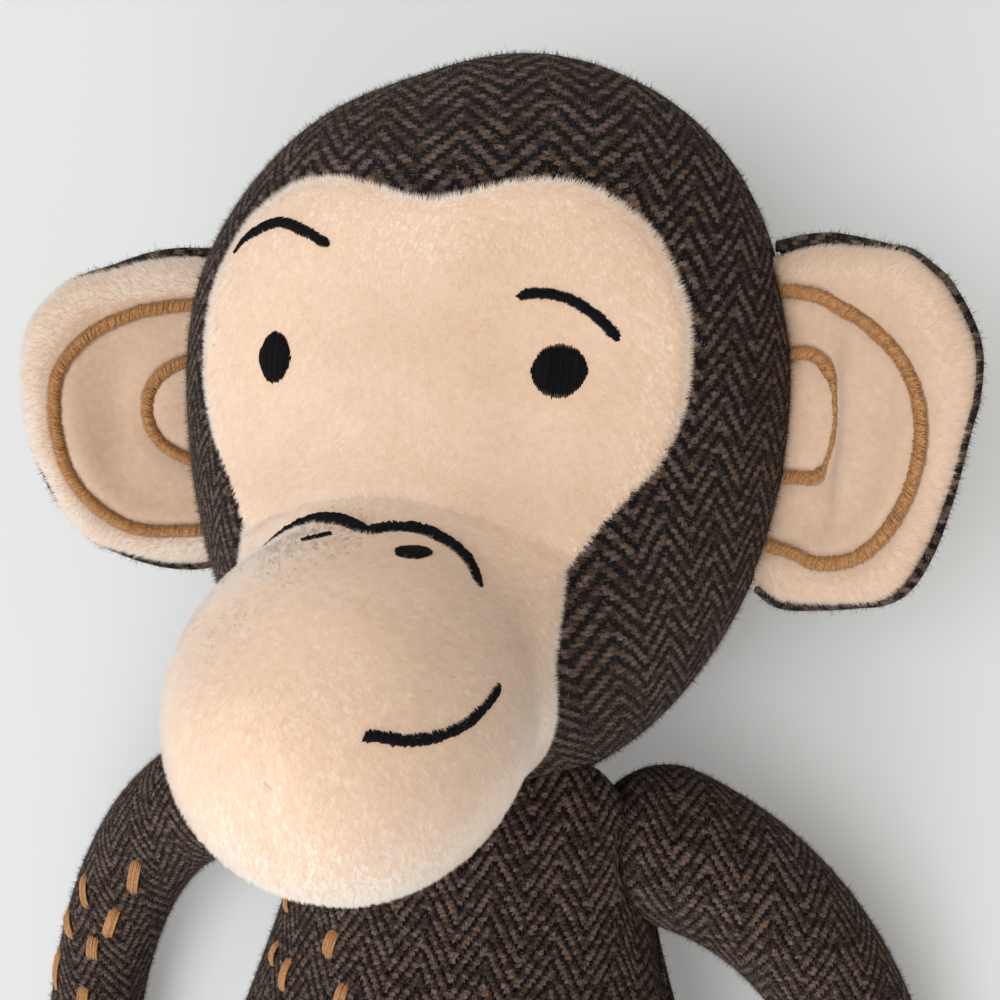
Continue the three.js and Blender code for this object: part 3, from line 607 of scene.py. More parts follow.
def plush_finish(name, pile, painted_dimming=1.0):
    """Peach plush: the pile's own fibres, or the cloth that they stand on, evenly darkened by a share as painted
    shade.
    """
    finish, tree, skin = new_finish(name, {
        "Roughness": 0.85, "Specular IOR Level": 0.2, "Sheen Weight": 0.55, "Sheen Roughness": 0.5,
        "Sheen Tint": (1.0, 0.96, 0.92, 1)})
    spot = add_node(tree, "ShaderNodeTexCoord")
    tone = add_node(tree, "ShaderNodeGroup", node_tree=PLUSH_TONE)
    tree.links.new(spot.outputs["Object"], tone.inputs["Place"])
    if pile:
        light_as_cloth(finish, tree, skin)
        # Each fibre is paler towards its tip: painted light on the tips and painted shade at the roots. The tufts
        # differ in tone at random.
        lift = attribute(tree, "tip") * 0.2 + attribute(tree, "tuft") * 0.8
        tree.links.new(lift.socket, tone.inputs["Lift"])
    tree.links.new(scaled(tree, tone.outputs["Color"], painted_dimming), skin.inputs["Base Color"])
    return finish


PILE = plush_finish("peach pile", True)
BACKING = plush_finish("peach plush backing", False)


def lay_pile(
        name, rows, inside, seed, per_cm2, nap, length=PILE_LENGTH, width=PILE_WIDTH, ruffle=0.8, pale=0.0,
        pressed=None, fringe=()):
    """Short brushed pile over rows of points, gathered in small tufts that lean with the nap, and outwards at
    its fringes. Such thin fibres let light through, so they cast no shadow."""
    rng = np.random.default_rng(seed)
    read, place = scatter(rows, per_cm2, PILE_MOST, rng)
    count = len(place)

    def at_roots(value):
        return read(value) if np.ndim(value) > 1 else np.full(count, value)

    normals = unit(read(out_of(rows, inside)))
    roots = read(rows)
    sway = 0
    for k in range(SWAY_WAVES):
        wave = np.sin(roots @ unit(rng.normal(size=3)) * (0.06 + 0.05 * k) + 6.3 * rng.random())
        sway = sway + wave[:, None] * rng.normal(0, SWAY_REACH, 3)
    nap = np.asarray(nap, float)
    lean = (read(nap) if nap.ndim == 3 else nap) + sway
    laid = lean - normals * np.sum(lean * normals, axis=1, keepdims=True)
    lean = unit(laid) * smoothstep(np.linalg.norm(laid, axis=1, keepdims=True), 0.1, 0.6)
    ruffle = at_roots(ruffle)[:, None]
    lengths = at_roots(length) * (0.75 + 0.5 * rng.random(count))
    heads = roots[::TUFT_FIBRES]
    tufts = kdtree.KDTree(len(heads))
    for k, head in enumerate(heads.tolist()):
        tufts.insert(head, k)
    tufts.balance()
    mine = np.array([tufts.find(root)[1] for root in roots.tolist()])
    lean = lean * PILE_LEAN + ruffle * rng.normal(0, TUFT_SPLAY, heads.shape)[mine]
    lean = lean + rng.normal(0, FIBRE_SPLAY, normals.shape) + ruffle * (heads[mine] - roots) / lengths[:, None]
    lots = TUFT_SHARE * rng.random(len(heads))[mine] + (1 - TUFT_SHARE) * rng.random(count)
    lots = np.clip(TUFT_TONE + ruffle[:, 0] * (lots - 0.5), 0, 1) + at_roots(pale)
    run = run_length(rows)
    for row in fringe:
        far = read(run if row == 0 else run[-1:] - run)
        away = unit(read(np.gradient(rows, axis=0))) * (-1 if row == 0 else 1)
        edge = np.exp(-far / FRINGE_REACH)
        # Towards the fringe the fibres are painted paler: a painted highlight of fibres seen on edge.
        lots = lots + FRINGE_HIGHLIGHT * edge
        lean = lerp(lean, away * FRINGE_LEAN + rng.normal(0, FRINGE_SPLAY, normals.shape), edge[:, None])
    lean = lean - normals * np.sum(lean * normals, axis=1, keepdims=True)
    lean = unit(lean) * np.maximum(np.linalg.norm(lean, axis=1, keepdims=True), LEAST_LEAN)
    kept = np.full(count, True)
    if pressed is not None:
        share = pressed(roots)
        lengths = lengths * share
        kept = share > 0.05
    widths = np.full(count, width)
    pile = blades(name, *(each[kept] for each in (roots, normals, lean, lengths, widths, lots, place)), rng)
    pile.visible_shadow = pile.visible_diffuse = False
    return pile


def egg_rows(half, count=57, around=73):
    """Rows of points of an egg about Y, from its near pole to its far one."""
    turn = np.linspace(-math.pi / 2, math.pi / 2, count)[:, None]
    angle = np.linspace(-math.pi, math.pi, around)[None, :]
    return np.stack([
        half[0] * np.cos(turn) * np.sin(angle), half[1] * np.sin(turn) * np.ones_like(angle),
        half[2] * np.cos(turn) * np.cos(angle)], axis=-1)


foot_reach = math.hypot(FOOT_HALF[2] * math.cos(FOOT_TILT), FOOT_HALF[1] * math.sin(FOOT_TILT))
foot_centre = np.array([11.0, -122.0, foot_reach - 1 - HIP[2]])
tilt = np.array(Matrix.Rotation(FOOT_TILT, 3, "X"))
for name, side in SIDES.items():
    flip = np.array([side, 1, 1])
    for piece, rows, body, nap in (
            ("hand", egg_rows(HAND_HALF) + (ARM_HANDLES[name][3] + SHOULDER) * flip, "arm", (0, -1, 0)),
            ("foot", egg_rows(FOOT_HALF) @ tilt.T + (foot_centre + HIP) * flip, "leg", (0, 0, 1))):
        inside = rows.mean(axis=(0, 1))
        rows[..., 2] = np.maximum(rows[..., 2], FLOOR)
        sew_cover(
            f"{name}_{piece}_bag", rows, rows[..., :2], inside, BACKING, "plush", f"{name}_{body}", END_FILL,
            f"{name}_{piece}")
        pile = lay_pile(
            f"{name}_{piece}_pile", rows, inside, 31, LIMB_PILE_PER_CM2, nap, LIMB_PILE_LENGTH, LIMB_PILE_WIDTH)
        dress(pile, PILE, f"{name}_{body}")

# Legs
# Short straight legs of tweed, sewn to the bottom of the torso and stuffed.
LEG_ROOT, ANKLE = 22.0, 20.0
ankle_fall = ANKLE - 1 - HIP[2]
LEG_HANDLES = np.array([
    (0, 0, 0), (4.4, -44.8, ankle_fall), (8.8, -89.6, ankle_fall),
    (11, -122.0, lerp(ankle_fall, foot_centre[2], 0.6))])
for name, side in SIDES.items():
    flip = np.array([side, 1, 1])
    sew_limb(f"{name}_leg", LEG_HANDLES * flip, LEG_ROOT, ANKLE, 0.86, HIP * flip, 41, THIN_FUZZ_PER_CM2)

# Neck
# A firm roll of filling in a scrap of tweed, between the torso's collar and the head.
NECK_RADIUS, NECK_COUNT, NECK_AROUND = 27.0, 41, 57
neck_rows = egg_rows(np.full(3, NECK_RADIUS), NECK_COUNT, NECK_AROUND) + NECK
neck_flat = np.stack(np.meshgrid(np.linspace(-85, 85, NECK_AROUND), np.linspace(-42, 42, NECK_COUNT)), axis=-1)
sew_cover("neck_roll_cover", neck_rows, neck_flat, NECK, TWEED, "tweed", "neck", HEAD_FILL, "neck_roll")

# Head
# Four panels on one stuffed form: tweed behind, tweed round the face, a heart of peach plush for the face
# and a round bag of plush for the muzzle. They are sewn edge to edge, so the seams are drawn in.
HEAD_HALF, HEAD_LEFT, HEAD_RIGHT = 84.0, 83.0, 81.3
CROWN, JAW, FACE_DEPTH, NAPE_DEPTH = 86.0, 111.0, 50.0, 63.0
CHEEK_SHARE, CHEEK_SPREAD, CHEEK_DROP, CHEEK_HEIGHT = 44 / 50, 60.0, 58.0, 40.0
MUZZLE_BASE, MUZZLE_END = (37.5, 39.0, -60.0), (42.0, 41.0, -66.0)
MUZZLE_SHOULDER, MUZZLE_REACH, MUZZLE_TUCK, JOWL_TUCK = 76.0, 130.0, 3.0, 6.0
FILLET = 13.0
HEAD_CORE = np.array([0.0, -45.0, 15.0])
HEAD_NOD, NECK_DROP = math.radians(9), 110.0
CROWN_LEAN, CROWN_LEAN_FROM = 6.0, 20.0
CROWN_DENT, CROWN_DENT_AT, CROWN_DENT_WIDTH = 3.2, -24.0, 26.0
DART_DEPTH, DART_WIDTH = 0.35, 1.7
HEAD_SEAM_TUCK, PLUSH_SEAM_TUCK, HEAD_SEAM_WIDTH, HEAD_FULLNESS = 1.4, 0.7, 2.6, 0.7
MUZZLE_TIP = np.array([0.0, -66.0, 130.0])
NAPE = np.array([0.0, 5.0, -63.0])
SIDE_SEAM_CORNER = 22.0
UPPER_SEAM = [(42, -33), (37, -30), (32, -27.5), (22, -23.5), (11, -21), (0, -20)]
FACE_EDGE = [
    (42, -33), (46, -26), (51, -20), (57, -12), (61, -1), (62, 10), (61, 22), (57, 32), (51.5, 41), (44, 47),
    (36, 51), (28, 52), (20.5, 51.5), (14, 50), (7, 48), (0, 47)]
RIGHT_CHEEK = 0.045
UPPER_COLUMNS, LOWER_COLUMNS = 220, 150


def to_world(points):
    """From the head's own frame, on its ear line, to the toy's."""
    y, z = points[..., 1] + NECK_DROP, points[..., 2]
    c, s = math.cos(HEAD_NOD), math.sin(HEAD_NOD)
    return np.stack([points[..., 0], y * c - z * s, y * s + z * c], axis=-1) + NECK


def half_width(x):
    """The stuffed head is a little fuller on its left."""
    return np.where(x > 0, HEAD_LEFT, HEAD_RIGHT)


def half_height(y):
    return np.where(y > 0, CROWN, JAW)


def cheeks(x, y):
    """How much deeper the head's front is over its cheeks."""
    return 1 + CHEEK_SHARE * np.exp(-((x / CHEEK_SPREAD) ** 2) - ((y + CHEEK_DROP) / CHEEK_HEIGHT) ** 2)


def face_height(x, y):
    """How far the head's front stands out at a place seen from the front."""
    round_off = np.maximum(1 - (x / half_width(x)) ** 2 - (y / half_height(y)) ** 2, 0)
    return FACE_DEPTH * np.sqrt(round_off) * cheeks(x, y)


def muzzle_wide(x, y, along):
    """Half the muzzle's width, which is drawn in on its left and most of all at the jowl."""
    tuck = MUZZLE_TUCK * along + JOWL_TUCK * (1 - 0.6 * along) * smoothstep(-y, 30, 70)
    return lerp(MUZZLE_BASE[0], MUZZLE_END[0], along) - np.where(x > 0, tuck, 0)


def muzzle_tube(z):
    """How far along the muzzle a depth is, with half its height and its middle there."""
    along = np.clip(z / MUZZLE_SHOULDER, 0, 1)
    return along, *(lerp(a, b, along) for a, b in zip(MUZZLE_BASE[1:], MUZZLE_END[1:]))


def head_gap(p):
    """About how far a point is outside the head: its egg and muzzle, melted together where they meet."""
    x, y, z = p[..., 0], p[..., 1], p[..., 2]
    depth = np.where(z > 0, FACE_DEPTH * cheeks(x, y), NAPE_DEPTH)
    size = np.sqrt((x / half_width(x)) ** 2 + (y / half_height(y)) ** 2 + (z / depth) ** 2)
    egg = np.linalg.norm(p, axis=-1) * (1 - 1 / np.maximum(size, 1e-6))
    along, tall, middle = muzzle_tube(z)
    wide = muzzle_wide(x, y, along)
    past = np.maximum(z - MUZZLE_SHOULDER, 0)
    v = y - middle
    size = np.sqrt((x / wide) ** 2 + (v / tall) ** 2 + (past / (MUZZLE_REACH - MUZZLE_SHOULDER)) ** 2)
    tube = np.sqrt(x**2 + v**2 + past**2) * (1 - 1 / np.maximum(size, 1e-6))
    melt = np.maximum(FILLET - np.abs(egg - tube), 0) / FILLET
    return np.minimum(egg, tube) - melt * melt * FILLET / 4


def onto_head(ways):
    """The head's surface along ways out of its core."""
    near, stride = np.zeros(ways.shape[:-1]), 5.0
    for reach in np.arange(30, 231, stride):
        inside = head_gap(HEAD_CORE + ways * reach) < 0
        near = np.where(inside, reach, near)
    far = near + stride
    for _ in range(22):
        middle = (near + far) / 2
        inside = head_gap(HEAD_CORE + ways * middle[..., None]) < 0
        near, far = np.where(inside, middle, near), np.where(inside, far, middle)
    return HEAD_CORE + ways * near[..., None]


def head_out(points):
    """Unit normals of the head's surface."""
    step = 0.4
    return unit(np.stack([
        head_gap(points + np.eye(3)[k] * step) - head_gap(points - np.eye(3)[k] * step) for k in range(3)], axis=-1))


def spline(points, count):
    """A smooth line through points, spread evenly."""
    p = np.asarray(points, float)
    p = np.concatenate([2 * p[:1] - p[1:2], p, 2 * p[-1:] - p[-2:-1]])
    t = np.linspace(0, 1, 16)[:-1, None]
    parts = []
    for a, b, c, d in zip(p, p[1:], p[2:], p[3:]):
        bend, twist = 2 * a - 5 * b + 4 * c - d, 3 * b - a - 3 * c + d
        parts.append(0.5 * (2 * b + (c - a) * t + bend * t**2 + twist * t**3))
    return evenly(np.concatenate(parts + [p[-2:-1]]), count)


def mirrored(points):
    """A line from the toy's left to its middle, carried on to its right."""
    points = [tuple(p) for p in points]
    return points + [(-x, y) for x, y in points[-2::-1]]


def crown_lean(y):
    return CROWN_LEAN * smoothstep(y, CROWN_LEAN_FROM, CROWN)


def front_ways(flat):
    x = flat[:, 0] - crown_lean(flat[:, 1])
    return unit(np.stack([x, flat[:, 1], face_height(x, flat[:, 1])], axis=-1) - HEAD_CORE)


def lower_seam():
    """Where the tweed meets the muzzle below the face, round the muzzle's tube from corner to corner."""
    corner = math.radians(37)
    angle = np.linspace(corner, -math.pi - corner, LOWER_COLUMNS + 1)
    rise = np.maximum(np.abs(angle + math.pi / 2) - math.radians(97), 0) / math.radians(30)
    size = 1.03 + 0.25 * np.clip(rise, 0, 1) ** 1.6
    z = np.full_like(angle, 40.0)
    for _ in range(60):
        along, tall, middle = muzzle_tube(z)
        y = middle + size * tall * np.sin(angle)
        x = size * muzzle_wide(np.cos(angle), y, along) * np.cos(angle)
        z = lerp(z, face_height(x, y), 0.4)
    return unit(np.stack([x, y, z], axis=-1) - HEAD_CORE)


def between(first, last, count):
    """Rows of points on the head between two lines of ways, spread evenly down each column."""
    first, last = np.broadcast_arrays(first, last)

    def arc(shares):
        angle = np.arccos(np.clip(np.sum(first * last, axis=-1), -1, 1))[..., None]
        small = np.maximum(np.sin(angle), 1e-6)
        even = angle < 1e-3
        s = shares[..., None]
        bent = (np.sin((1 - s) * angle) * first + np.sin(s * angle) * last) / small
        return unit(np.where(even, lerp(first, last, s), bent))

    shares = np.repeat(np.linspace(0, 1, count)[:, None], first.shape[0], axis=1)
    for _ in range(3):
        run = run_length(onto_head(arc(shares)))
        total = np.maximum(run[-1], 1e-6)
        target = np.linspace(0, 1, count)
        for k in range(first.shape[0]):
            shares[:, k] = np.interp(target, run[:, k] / total[k], shares[:, k])
    return onto_head(arc(shares))


def ellipse_run(half_x, half_z):
    """Arc length round an ellipse from its front, as a table by angle."""
    angle = np.linspace(0, math.pi / 2, 200)
    return angle, run_length(np.stack([half_x * np.sin(angle), half_z * np.cos(angle)], axis=1))


def head_weave(rows, depth):
    """Where each point lies on the flat tweed, with the columns up and down."""
    x, y, z = rows[..., 0], rows[..., 1], np.abs(rows[..., 2])
    b = half_height(y)
    shrink = np.sqrt(np.maximum(1 - (y / b) ** 2, 0.004))
    angle, run = ellipse_run(HEAD_HALF, depth)
    turn = np.arctan2(np.abs(x) / HEAD_HALF, z / depth)
    u = np.sign(x) * np.interp(turn, angle, run) * shrink
    up_angle, up_run = ellipse_run(CROWN, depth)
    down_angle, down_run = ellipse_run(JAW, depth)
    rise = np.arcsin(np.clip(y / b, -1, 1))
    v = np.where(y > 0, np.interp(rise, up_angle, up_run), -np.interp(-rise, down_angle, down_run))
    u = u + np.sign(u) * 0.35 * np.maximum(np.abs(u) - 45, 0)
    return np.stack([u - 0.25 * v + 0.0035 * v * np.abs(v), v], axis=-1)


def finish_head(rows):
    """Leans the crown, clears the neck's room, and sets the head in the toy's frame, on the floor."""
    rows = rows.copy()
    spot = np.exp(-(((rows[..., 0] - CROWN_DENT_AT) / CROWN_DENT_WIDTH) ** 2))
    dent = CROWN_DENT * spot * smoothstep(rows[..., 1], 55, CROWN)
    rows[..., 0] += crown_lean(rows[..., 1])
    rows[..., 1] -= dent
    rows = press_ball(rows, np.array([0, -NECK_DROP, 0]), NECK_ROOM)
    rows = to_world(rows)
    rows[..., 2] = np.maximum(rows[..., 2], FLOOR)
    return rows


head_inside = to_world(np.array([0.0, -30.0, 10.0]))
upper = front_ways(spline(mirrored(UPPER_SEAM), UPPER_COLUMNS + 1))
face_edge = spline(mirrored(FACE_EDGE), UPPER_COLUMNS + 1)
face_edge[:, 0] *= np.where(face_edge[:, 0] < 0, 1 + RIGHT_CHEEK * smoothstep(face_edge[:, 1], -33, -10), 1)
edge = front_ways(face_edge)
lower = lower_seam()
lower[0], lower[-1] = upper[0], upper[-1]
around_upper = np.radians(np.linspace(-SIDE_SEAM_CORNER, 180 + SIDE_SEAM_CORNER, UPPER_COLUMNS + 1))
around_lower = np.radians(np.linspace(-SIDE_SEAM_CORNER, SIDE_SEAM_CORNER - 180, LOWER_COLUMNS + 1))


def side_seam(angle):
    c, s = np.cos(angle), np.sin(angle)
    return unit(np.stack([half_width(c) * c, half_height(s) * s, 0 * angle], axis=-1) - HEAD_CORE)


tweed_inner = np.concatenate([edge, lower[-2::-1]])
tweed_outer = np.concatenate([side_seam(around_upper), side_seam(around_lower)[-2::-1]])
muzzle_edge = np.concatenate([upper, lower[-2::-1]])
head_panels = {
    "head_front": (between(tweed_inner, tweed_outer, 60), [0, 1], ["head_front_panel"]),
    "head_back": (
        between(tweed_outer, unit(NAPE - HEAD_CORE), 70), [0], ["head_back_panel", "head_stuffing"]),
    "face": (between(upper, edge, 70), [0, 1], ["face_panel"]),
    "muzzle": (between(muzzle_edge, unit(MUZZLE_TIP - HEAD_CORE), 80), [0], ["muzzle_panel"])}
head_surface = {}
for panel, (rows, seams, nodes) in head_panels.items():
    tweed = panel.startswith("head")
    weave = head_weave(rows, FACE_DEPTH if panel == "head_front" else NAPE_DEPTH)
    normals = head_out(rows)
    run = run_length(rows)
    near = [run, run[-1:] - run]
    tuck = HEAD_SEAM_TUCK if tweed else PLUSH_SEAM_TUCK
    rows = ease_seams(rows, normals, [near[k] for k in seams], tuck, HEAD_SEAM_WIDTH, HEAD_FULLNESS)
    if panel == "muzzle":
        chin = smoothstep(-rows[..., 1], 50, 60) * smoothstep(rows[..., 2], 60, 90)
        dart = np.exp(-((rows[..., 0] / DART_WIDTH) ** 2)) * chin
        rows = rows - normals * (DART_DEPTH * dart)[..., None]
    rows = finish_head(rows)
    head_surface[panel] = rows
    finish, slot = (TWEED, "tweed") if tweed else (BACKING, "plush")
    sew_cover(panel, rows, weave, head_inside, finish, slot, "head", HEAD_FILL, *nodes)
    if tweed:
        lay_fuzz(panel + "_fuzz", rows, head_inside, "head", seed=51)

# Embroidery of the face
# Black satin stitch, worked through the plush before the head was sewn up: filled ovals for eyes and
# nostrils, narrow bars for the brows, the nose and the smile on one side.
STITCH_GAP, THREAD, STITCH_LOOSE = 0.46, 0.27, 0.16


def stitch_shape():
    """One stitch: a slim spindle of thread that dives into the cloth at both ends."""
    bpy.ops.object.select_all(action="DESELECT")
    bpy.ops.mesh.primitive_uv_sphere_add(segments=6, ring_count=6, radius=1)
    model = bpy.context.object.data
    points, faces = points_of(model), [list(f.vertices) for f in model.polygons]
    bpy.ops.object.delete()
    return points, faces


STITCH_POINTS, STITCH_FACES = stitch_shape()


def satin(name, starts, ends, outs, height, thread=THREAD):
    """Stitches side by side, each arched over the cloth from its start to its end."""
    count = len(starts)
    along = ends - starts
    length = np.linalg.norm(along, axis=1, keepdims=True)
    along = along / np.maximum(length, 1e-6)
    across = unit(np.cross(along, outs))
    z = STITCH_POINTS[:, 2]
    ring = unit(STITCH_POINTS[:, :2]) * (np.linalg.norm(STITCH_POINTS[:, :2], axis=1) > 0.01)[:, None]
    body = (1 - np.abs(z) ** 5)[:, None]
    share = (z[:, None] + 1) / 2
    arch = (1 - np.abs(z) ** 2.6)[:, None]
    points = []
    rng = np.random.default_rng(81)
    loose = rng.normal(0, STITCH_LOOSE, (2, count, 1))
    high = height * (1 + rng.normal(0, 0.12, count))
    for k in range(count):
        reach = length[k] * share + lerp(loose[0, k], loose[1, k], share)
        middle = starts[k] + along[k] * reach + outs[k] * (high[k] * arch - 0.5)
        section = across[k] * ring[:, :1] * thread * 1.12 + outs[k] * ring[:, 1:] * thread
        points.append(middle + section * body)
    size = len(STITCH_POINTS)
    faces = [[i + k * size for i in face] for k in range(count) for face in STITCH_FACES]
    mesh = bpy.data.meshes.new(name)
    mesh.from_pydata((np.concatenate(points) * MM).tolist(), [], faces)
    mesh.update()
    mark(mesh, "tuft", np.repeat(rng.random(count), size))
    made = add_object(name, mesh)
    bpy.ops.object.select_all(action="DESELECT")
    made.select_set(True)
    bpy.context.view_layer.objects.active = made
    edit_whole(bpy.ops.mesh.normals_make_consistent, inside=False)
    bpy.ops.object.shade_smooth()
    return made


def thread_finish(name, dark, light, roughness, sheen):
    """Twisted thread, with a sheen along its strands, and fine speckles between a darker and a paler colour as
    painted shade and painted glints.
    """
    finish, tree, skin = new_finish(name, {
        "Roughness": roughness, "Specular IOR Level": 0.5 * (1 - roughness) + 0.05, "Sheen Weight": sheen,
        "Sheen Roughness": 0.4})
    glints_and_bumps = noise_term(tree, add_node(tree, "ShaderNodeTexCoord").outputs["Object"], 1400.0, 3.0)
    # The fine speckles from the dark colour to the light one are painted glints and painted shade of the twisted
    # strands, and they also set its bumps. Each stitch also differs a little at random.
    colour = soft_ramp(tree, attribute(tree, "tuft") * 0.15 + glints_and_bumps * 0.95, [(0.25, dark), (0.85, light)])
    bump = add_node(tree, "ShaderNodeBump", {"Strength": 0.4, "Distance": 0.0001, "Height": glints_and_bumps})
    tree.links.new(colour, skin.inputs["Base Color"])
    tree.links.new(bump.outputs["Normal"], skin.inputs["Normal"])
    return finish


BLACK_THREAD = thread_finish("black thread", (0.0012, 0.0012, 0.002), (0.007, 0.007, 0.01), 0.85, 0.0)
SATIN_THREAD = thread_finish("golden brown satin thread", (0.19, 0.073, 0.02), (0.57, 0.285, 0.1), 0.35, 0.1)


def on_face(flat):
    """Places on the face, seen from the front, and the way out of the cloth."""
    ways = front_ways(np.asarray(flat, float))
    points = onto_head(ways)
    normals = head_out(points)
    points[:, 0] += crown_lean(points[:, 1])
    return points, normals


def on_muzzle(points):
    """The nearest places on the muzzle along ways from its middle, and the way out of the cloth."""
    points = onto_head(unit(np.asarray(points, float) - HEAD_CORE))
    return points, head_out(points)


def turn_out(vectors):
    return to_world(vectors) - to_world(np.zeros(3))


def satin_line(name, points, outs, widths, height, slant=0.0, thread=THREAD):
    """A raised line of satin stitch along points, as wide as given at each."""
    way = unit(np.gradient(points, axis=0))
    side = unit(np.cross(outs, way))
    lead = way * slant
    starts = points - (side + lead) * widths[:, None] / 2
    ends = points + (side + lead) * widths[:, None] / 2
    return satin(name, starts, ends, outs, height * np.minimum(1, widths / widths.max()), thread)


def by_stitches(line, gap):
    """A line with one point for each stitch."""
    return evenly(line, int(run_length(line)[-1] / gap) + 1)


def resample(points):
    return by_stitches(spline(points, 400), STITCH_GAP)


def dress_face(piece, node):
    dress(piece, BLACK_THREAD, "head")
    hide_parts(node)


LIFT, SLANT, LINE_WIDTH, HELD_SHARE = 0.7, 0.3, 3.1, 0.42
stitched = []


def sew_line(name, node, points, outs, widths, height, held):
    """A line of black satin stitch on the head, which holds the pile flat beside it."""
    line = to_world(points + outs * LIFT)
    piece = satin_line(f"{name}_stitches", line, turn_out(outs), widths, np.full(len(points), height), SLANT)
    dress_face(piece, node)
    stitched.append((line, held))


def fill_oval(node, low, high, outs, lift, heights, shares, held):
    """An oval of black satin stitch from edge to edge, which holds the pile flat under it."""
    low, high = to_world(low + outs * lift), to_world(high + outs * lift)
    dress_face(satin(f"{node}_stitches", low, high, turn_out(outs), heights), node)
    stitched.append((np.concatenate([lerp(low, high, share) for share in shares]), held))


def nearest(points, line):
    """Distance from each point to the nearest point of a line."""
    flat = points.reshape(-1, points.shape[-1])
    out = np.empty(len(flat))
    for k in range(0, len(flat), 20000):
        out[k:k + 20000] = np.sqrt(((flat[k:k + 20000, None] - line[None]) ** 2).sum(-1)).min(1)
    return out.reshape(points.shape[:-1])


BROWS = {
    "left": ([(23.6, 25.2), (29, 26), (35, 25), (41, 21.4), (45.2, 17.6), (46.5, 15.8)], 14, 9),
    "right": ([(-55.5, 33.5), (-51, 37.5), (-41, 41), (-32, 39), (-24.5, 35.7)], 2.6, 14)}
for name, (path, first_taper, last_taper) in BROWS.items():
    points, outs = on_face(resample(path))
    ends = np.linspace(0, 1, len(points))
    taper = np.minimum(ends * first_taper + 0.3, (1 - ends) * last_taper + 0.5)
    widths = LINE_WIDTH * np.minimum(1, taper)
    sew_line(f"{name}_brow", f"{name}_brow", points, outs, widths, 1.0, widths.max() * HELD_SHARE)

EYE_LINE, EYE_HALF_HEIGHT, EYE_STITCH_GAP, EYE_LIFT = 8.6, 7.1, 0.36, 0.6
for name, at, half in (("left", 34.3, 6.1), ("right", -37, 4.9)):
    x = np.linspace(-0.985, 0.985, int(2 * half / EYE_STITCH_GAP)) * half
    tall = EYE_HALF_HEIGHT * np.sqrt(1 - (x / half) ** 2)
    low, _ = on_face(np.stack([at + x, EYE_LINE - tall], axis=1))
    high, _ = on_face(np.stack([at + x, EYE_LINE + tall], axis=1))
    middle, outs = on_face(np.stack([at + x, EYE_LINE + 0 * x], axis=1))
    sag = np.linalg.norm(middle - (low + high) / 2, axis=1)
    heights = 1.4 * np.sqrt(tall / EYE_HALF_HEIGHT) + sag
    fill_oval(f"{name}_eye", low, high, outs, EYE_LIFT, heights, np.linspace(0.03, 0.97, 17), 0.4)

NOSE = [
    (-28.7, -33.3, 72.6), (-26.3, -31.2, 72.7), (-22.9, -28.7, 72.8), (-18.7, -26.5, 73.2), (-14.3, -25.0, 74.3),
    (-9.5, -24.5, 76.5), (-5.0, -24.4, 79.6), (0.1, -24.8, 84.0), (2.3, -25.1, 84.6), (4.2, -24.7, 82.0),
    (6.8, -24.6, 79.6), (10.0, -24.9, 77.7), (13.4, -25.6, 76.7), (17.1, -27.1, 76.7), (20.4, -28.8, 77.1),
    (23.4, -30.9, 78.8), (25.7, -33.2, 81.2), (27.8, -35.2, 84.8)]
points, outs = on_muzzle(resample(NOSE))
ends = np.linspace(0, 1, len(points))
widths = np.interp(ends, [0, 0.12, 0.3, 0.75, 0.97, 1], [0.8, 2.6, 4.4, 4.3, 3.4, 2.0])
sew_line("nose", "nose_line", points, outs, widths, 1.3, 1.2)

NOSTRILS = {
    "left": ((11.0, -27.4, 91.4), (16.9, -28.6, 86.0), 3.9),
    "right": ((-11.0, -27.3, 90.1), (-5.2, -25.7, 88.4), 1.0)}
for name, (first, last, half) in NOSTRILS.items():
    first, last = np.array(first), np.array(last)
    shares = np.linspace(0, 1, int(np.linalg.norm(last - first) / STITCH_GAP) + 1)
    base = lerp(first, last, shares[:, None])
    tall = half * np.sqrt(1 - 0.94 * (2 * shares - 1) ** 2)
    reach = np.outer(tall, [0, 0.3, -0.95])
    low, _ = on_muzzle(base - reach)
    high, _ = on_muzzle(base + reach)
    _, outs = on_muzzle(base)
    heights = np.full(len(base), 0.9)
    fill_oval(f"{name}_nostril", low, high, outs, LIFT, heights, np.linspace(0.1, 0.9, 7), 0.5)

SMILE = [
    (17.3, -57.1, 124.2), (19.8, -57.7, 122.9), (22.5, -58.8, 121.2), (25.4, -59.6, 118.7), (28.2, -60.0, 115.6),
    (31.0, -59.9, 112.4), (33.1, -59.3, 108.7), (35.2, -58.0, 104.9), (36.6, -56.4, 101.2), (37.4, -54.9, 97.7)]
points, outs = on_muzzle(resample(SMILE))
ends = np.linspace(0, 1, len(points))
widths = LINE_WIDTH * np.minimum(1, (1 - ends) * 12 + 0.5)
sew_line("smile", "smile", points, outs, widths, 1.0, 1.1)

# Pile of the face and the muzzle
# The plush's own pile, trimmed short and brushed down. The stitches hold it flat, and along the seams it
# stands out over the tweed as a pale fringe.
STITCH_HALO, FRINGE_LENGTH, FRINGE_WIDTH = 3.0, 1.8, 0.13
FACE_PILE_PER_CM2, MUZZLE_PILE_PER_CM2, FRINGE_PER_CM2 = 1200, 1100, 3000
MUZZLE_SPLIT, FRINGE_ROWS, FRINGE_START = 40, 3, UPPER_COLUMNS - 8


def beside_stitches(roots):
    """The share of the pile's length left at each root: none under the stitches, and little beside them."""
    share = np.ones(len(roots))
    for line, half in stitched:
        reach = half + STITCH_HALO
        near = np.all((roots > line.min(axis=0) - reach) & (roots < line.max(axis=0) + reach), axis=1)
        close = np.flatnonzero(near)
        gap = nearest(roots[close], line) - half
        left = np.where(gap < 0, 0, lerp(0.7, 1, smoothstep(gap, 0, STITCH_HALO)))
        share[close] = np.minimum(share[close], left)
    return share


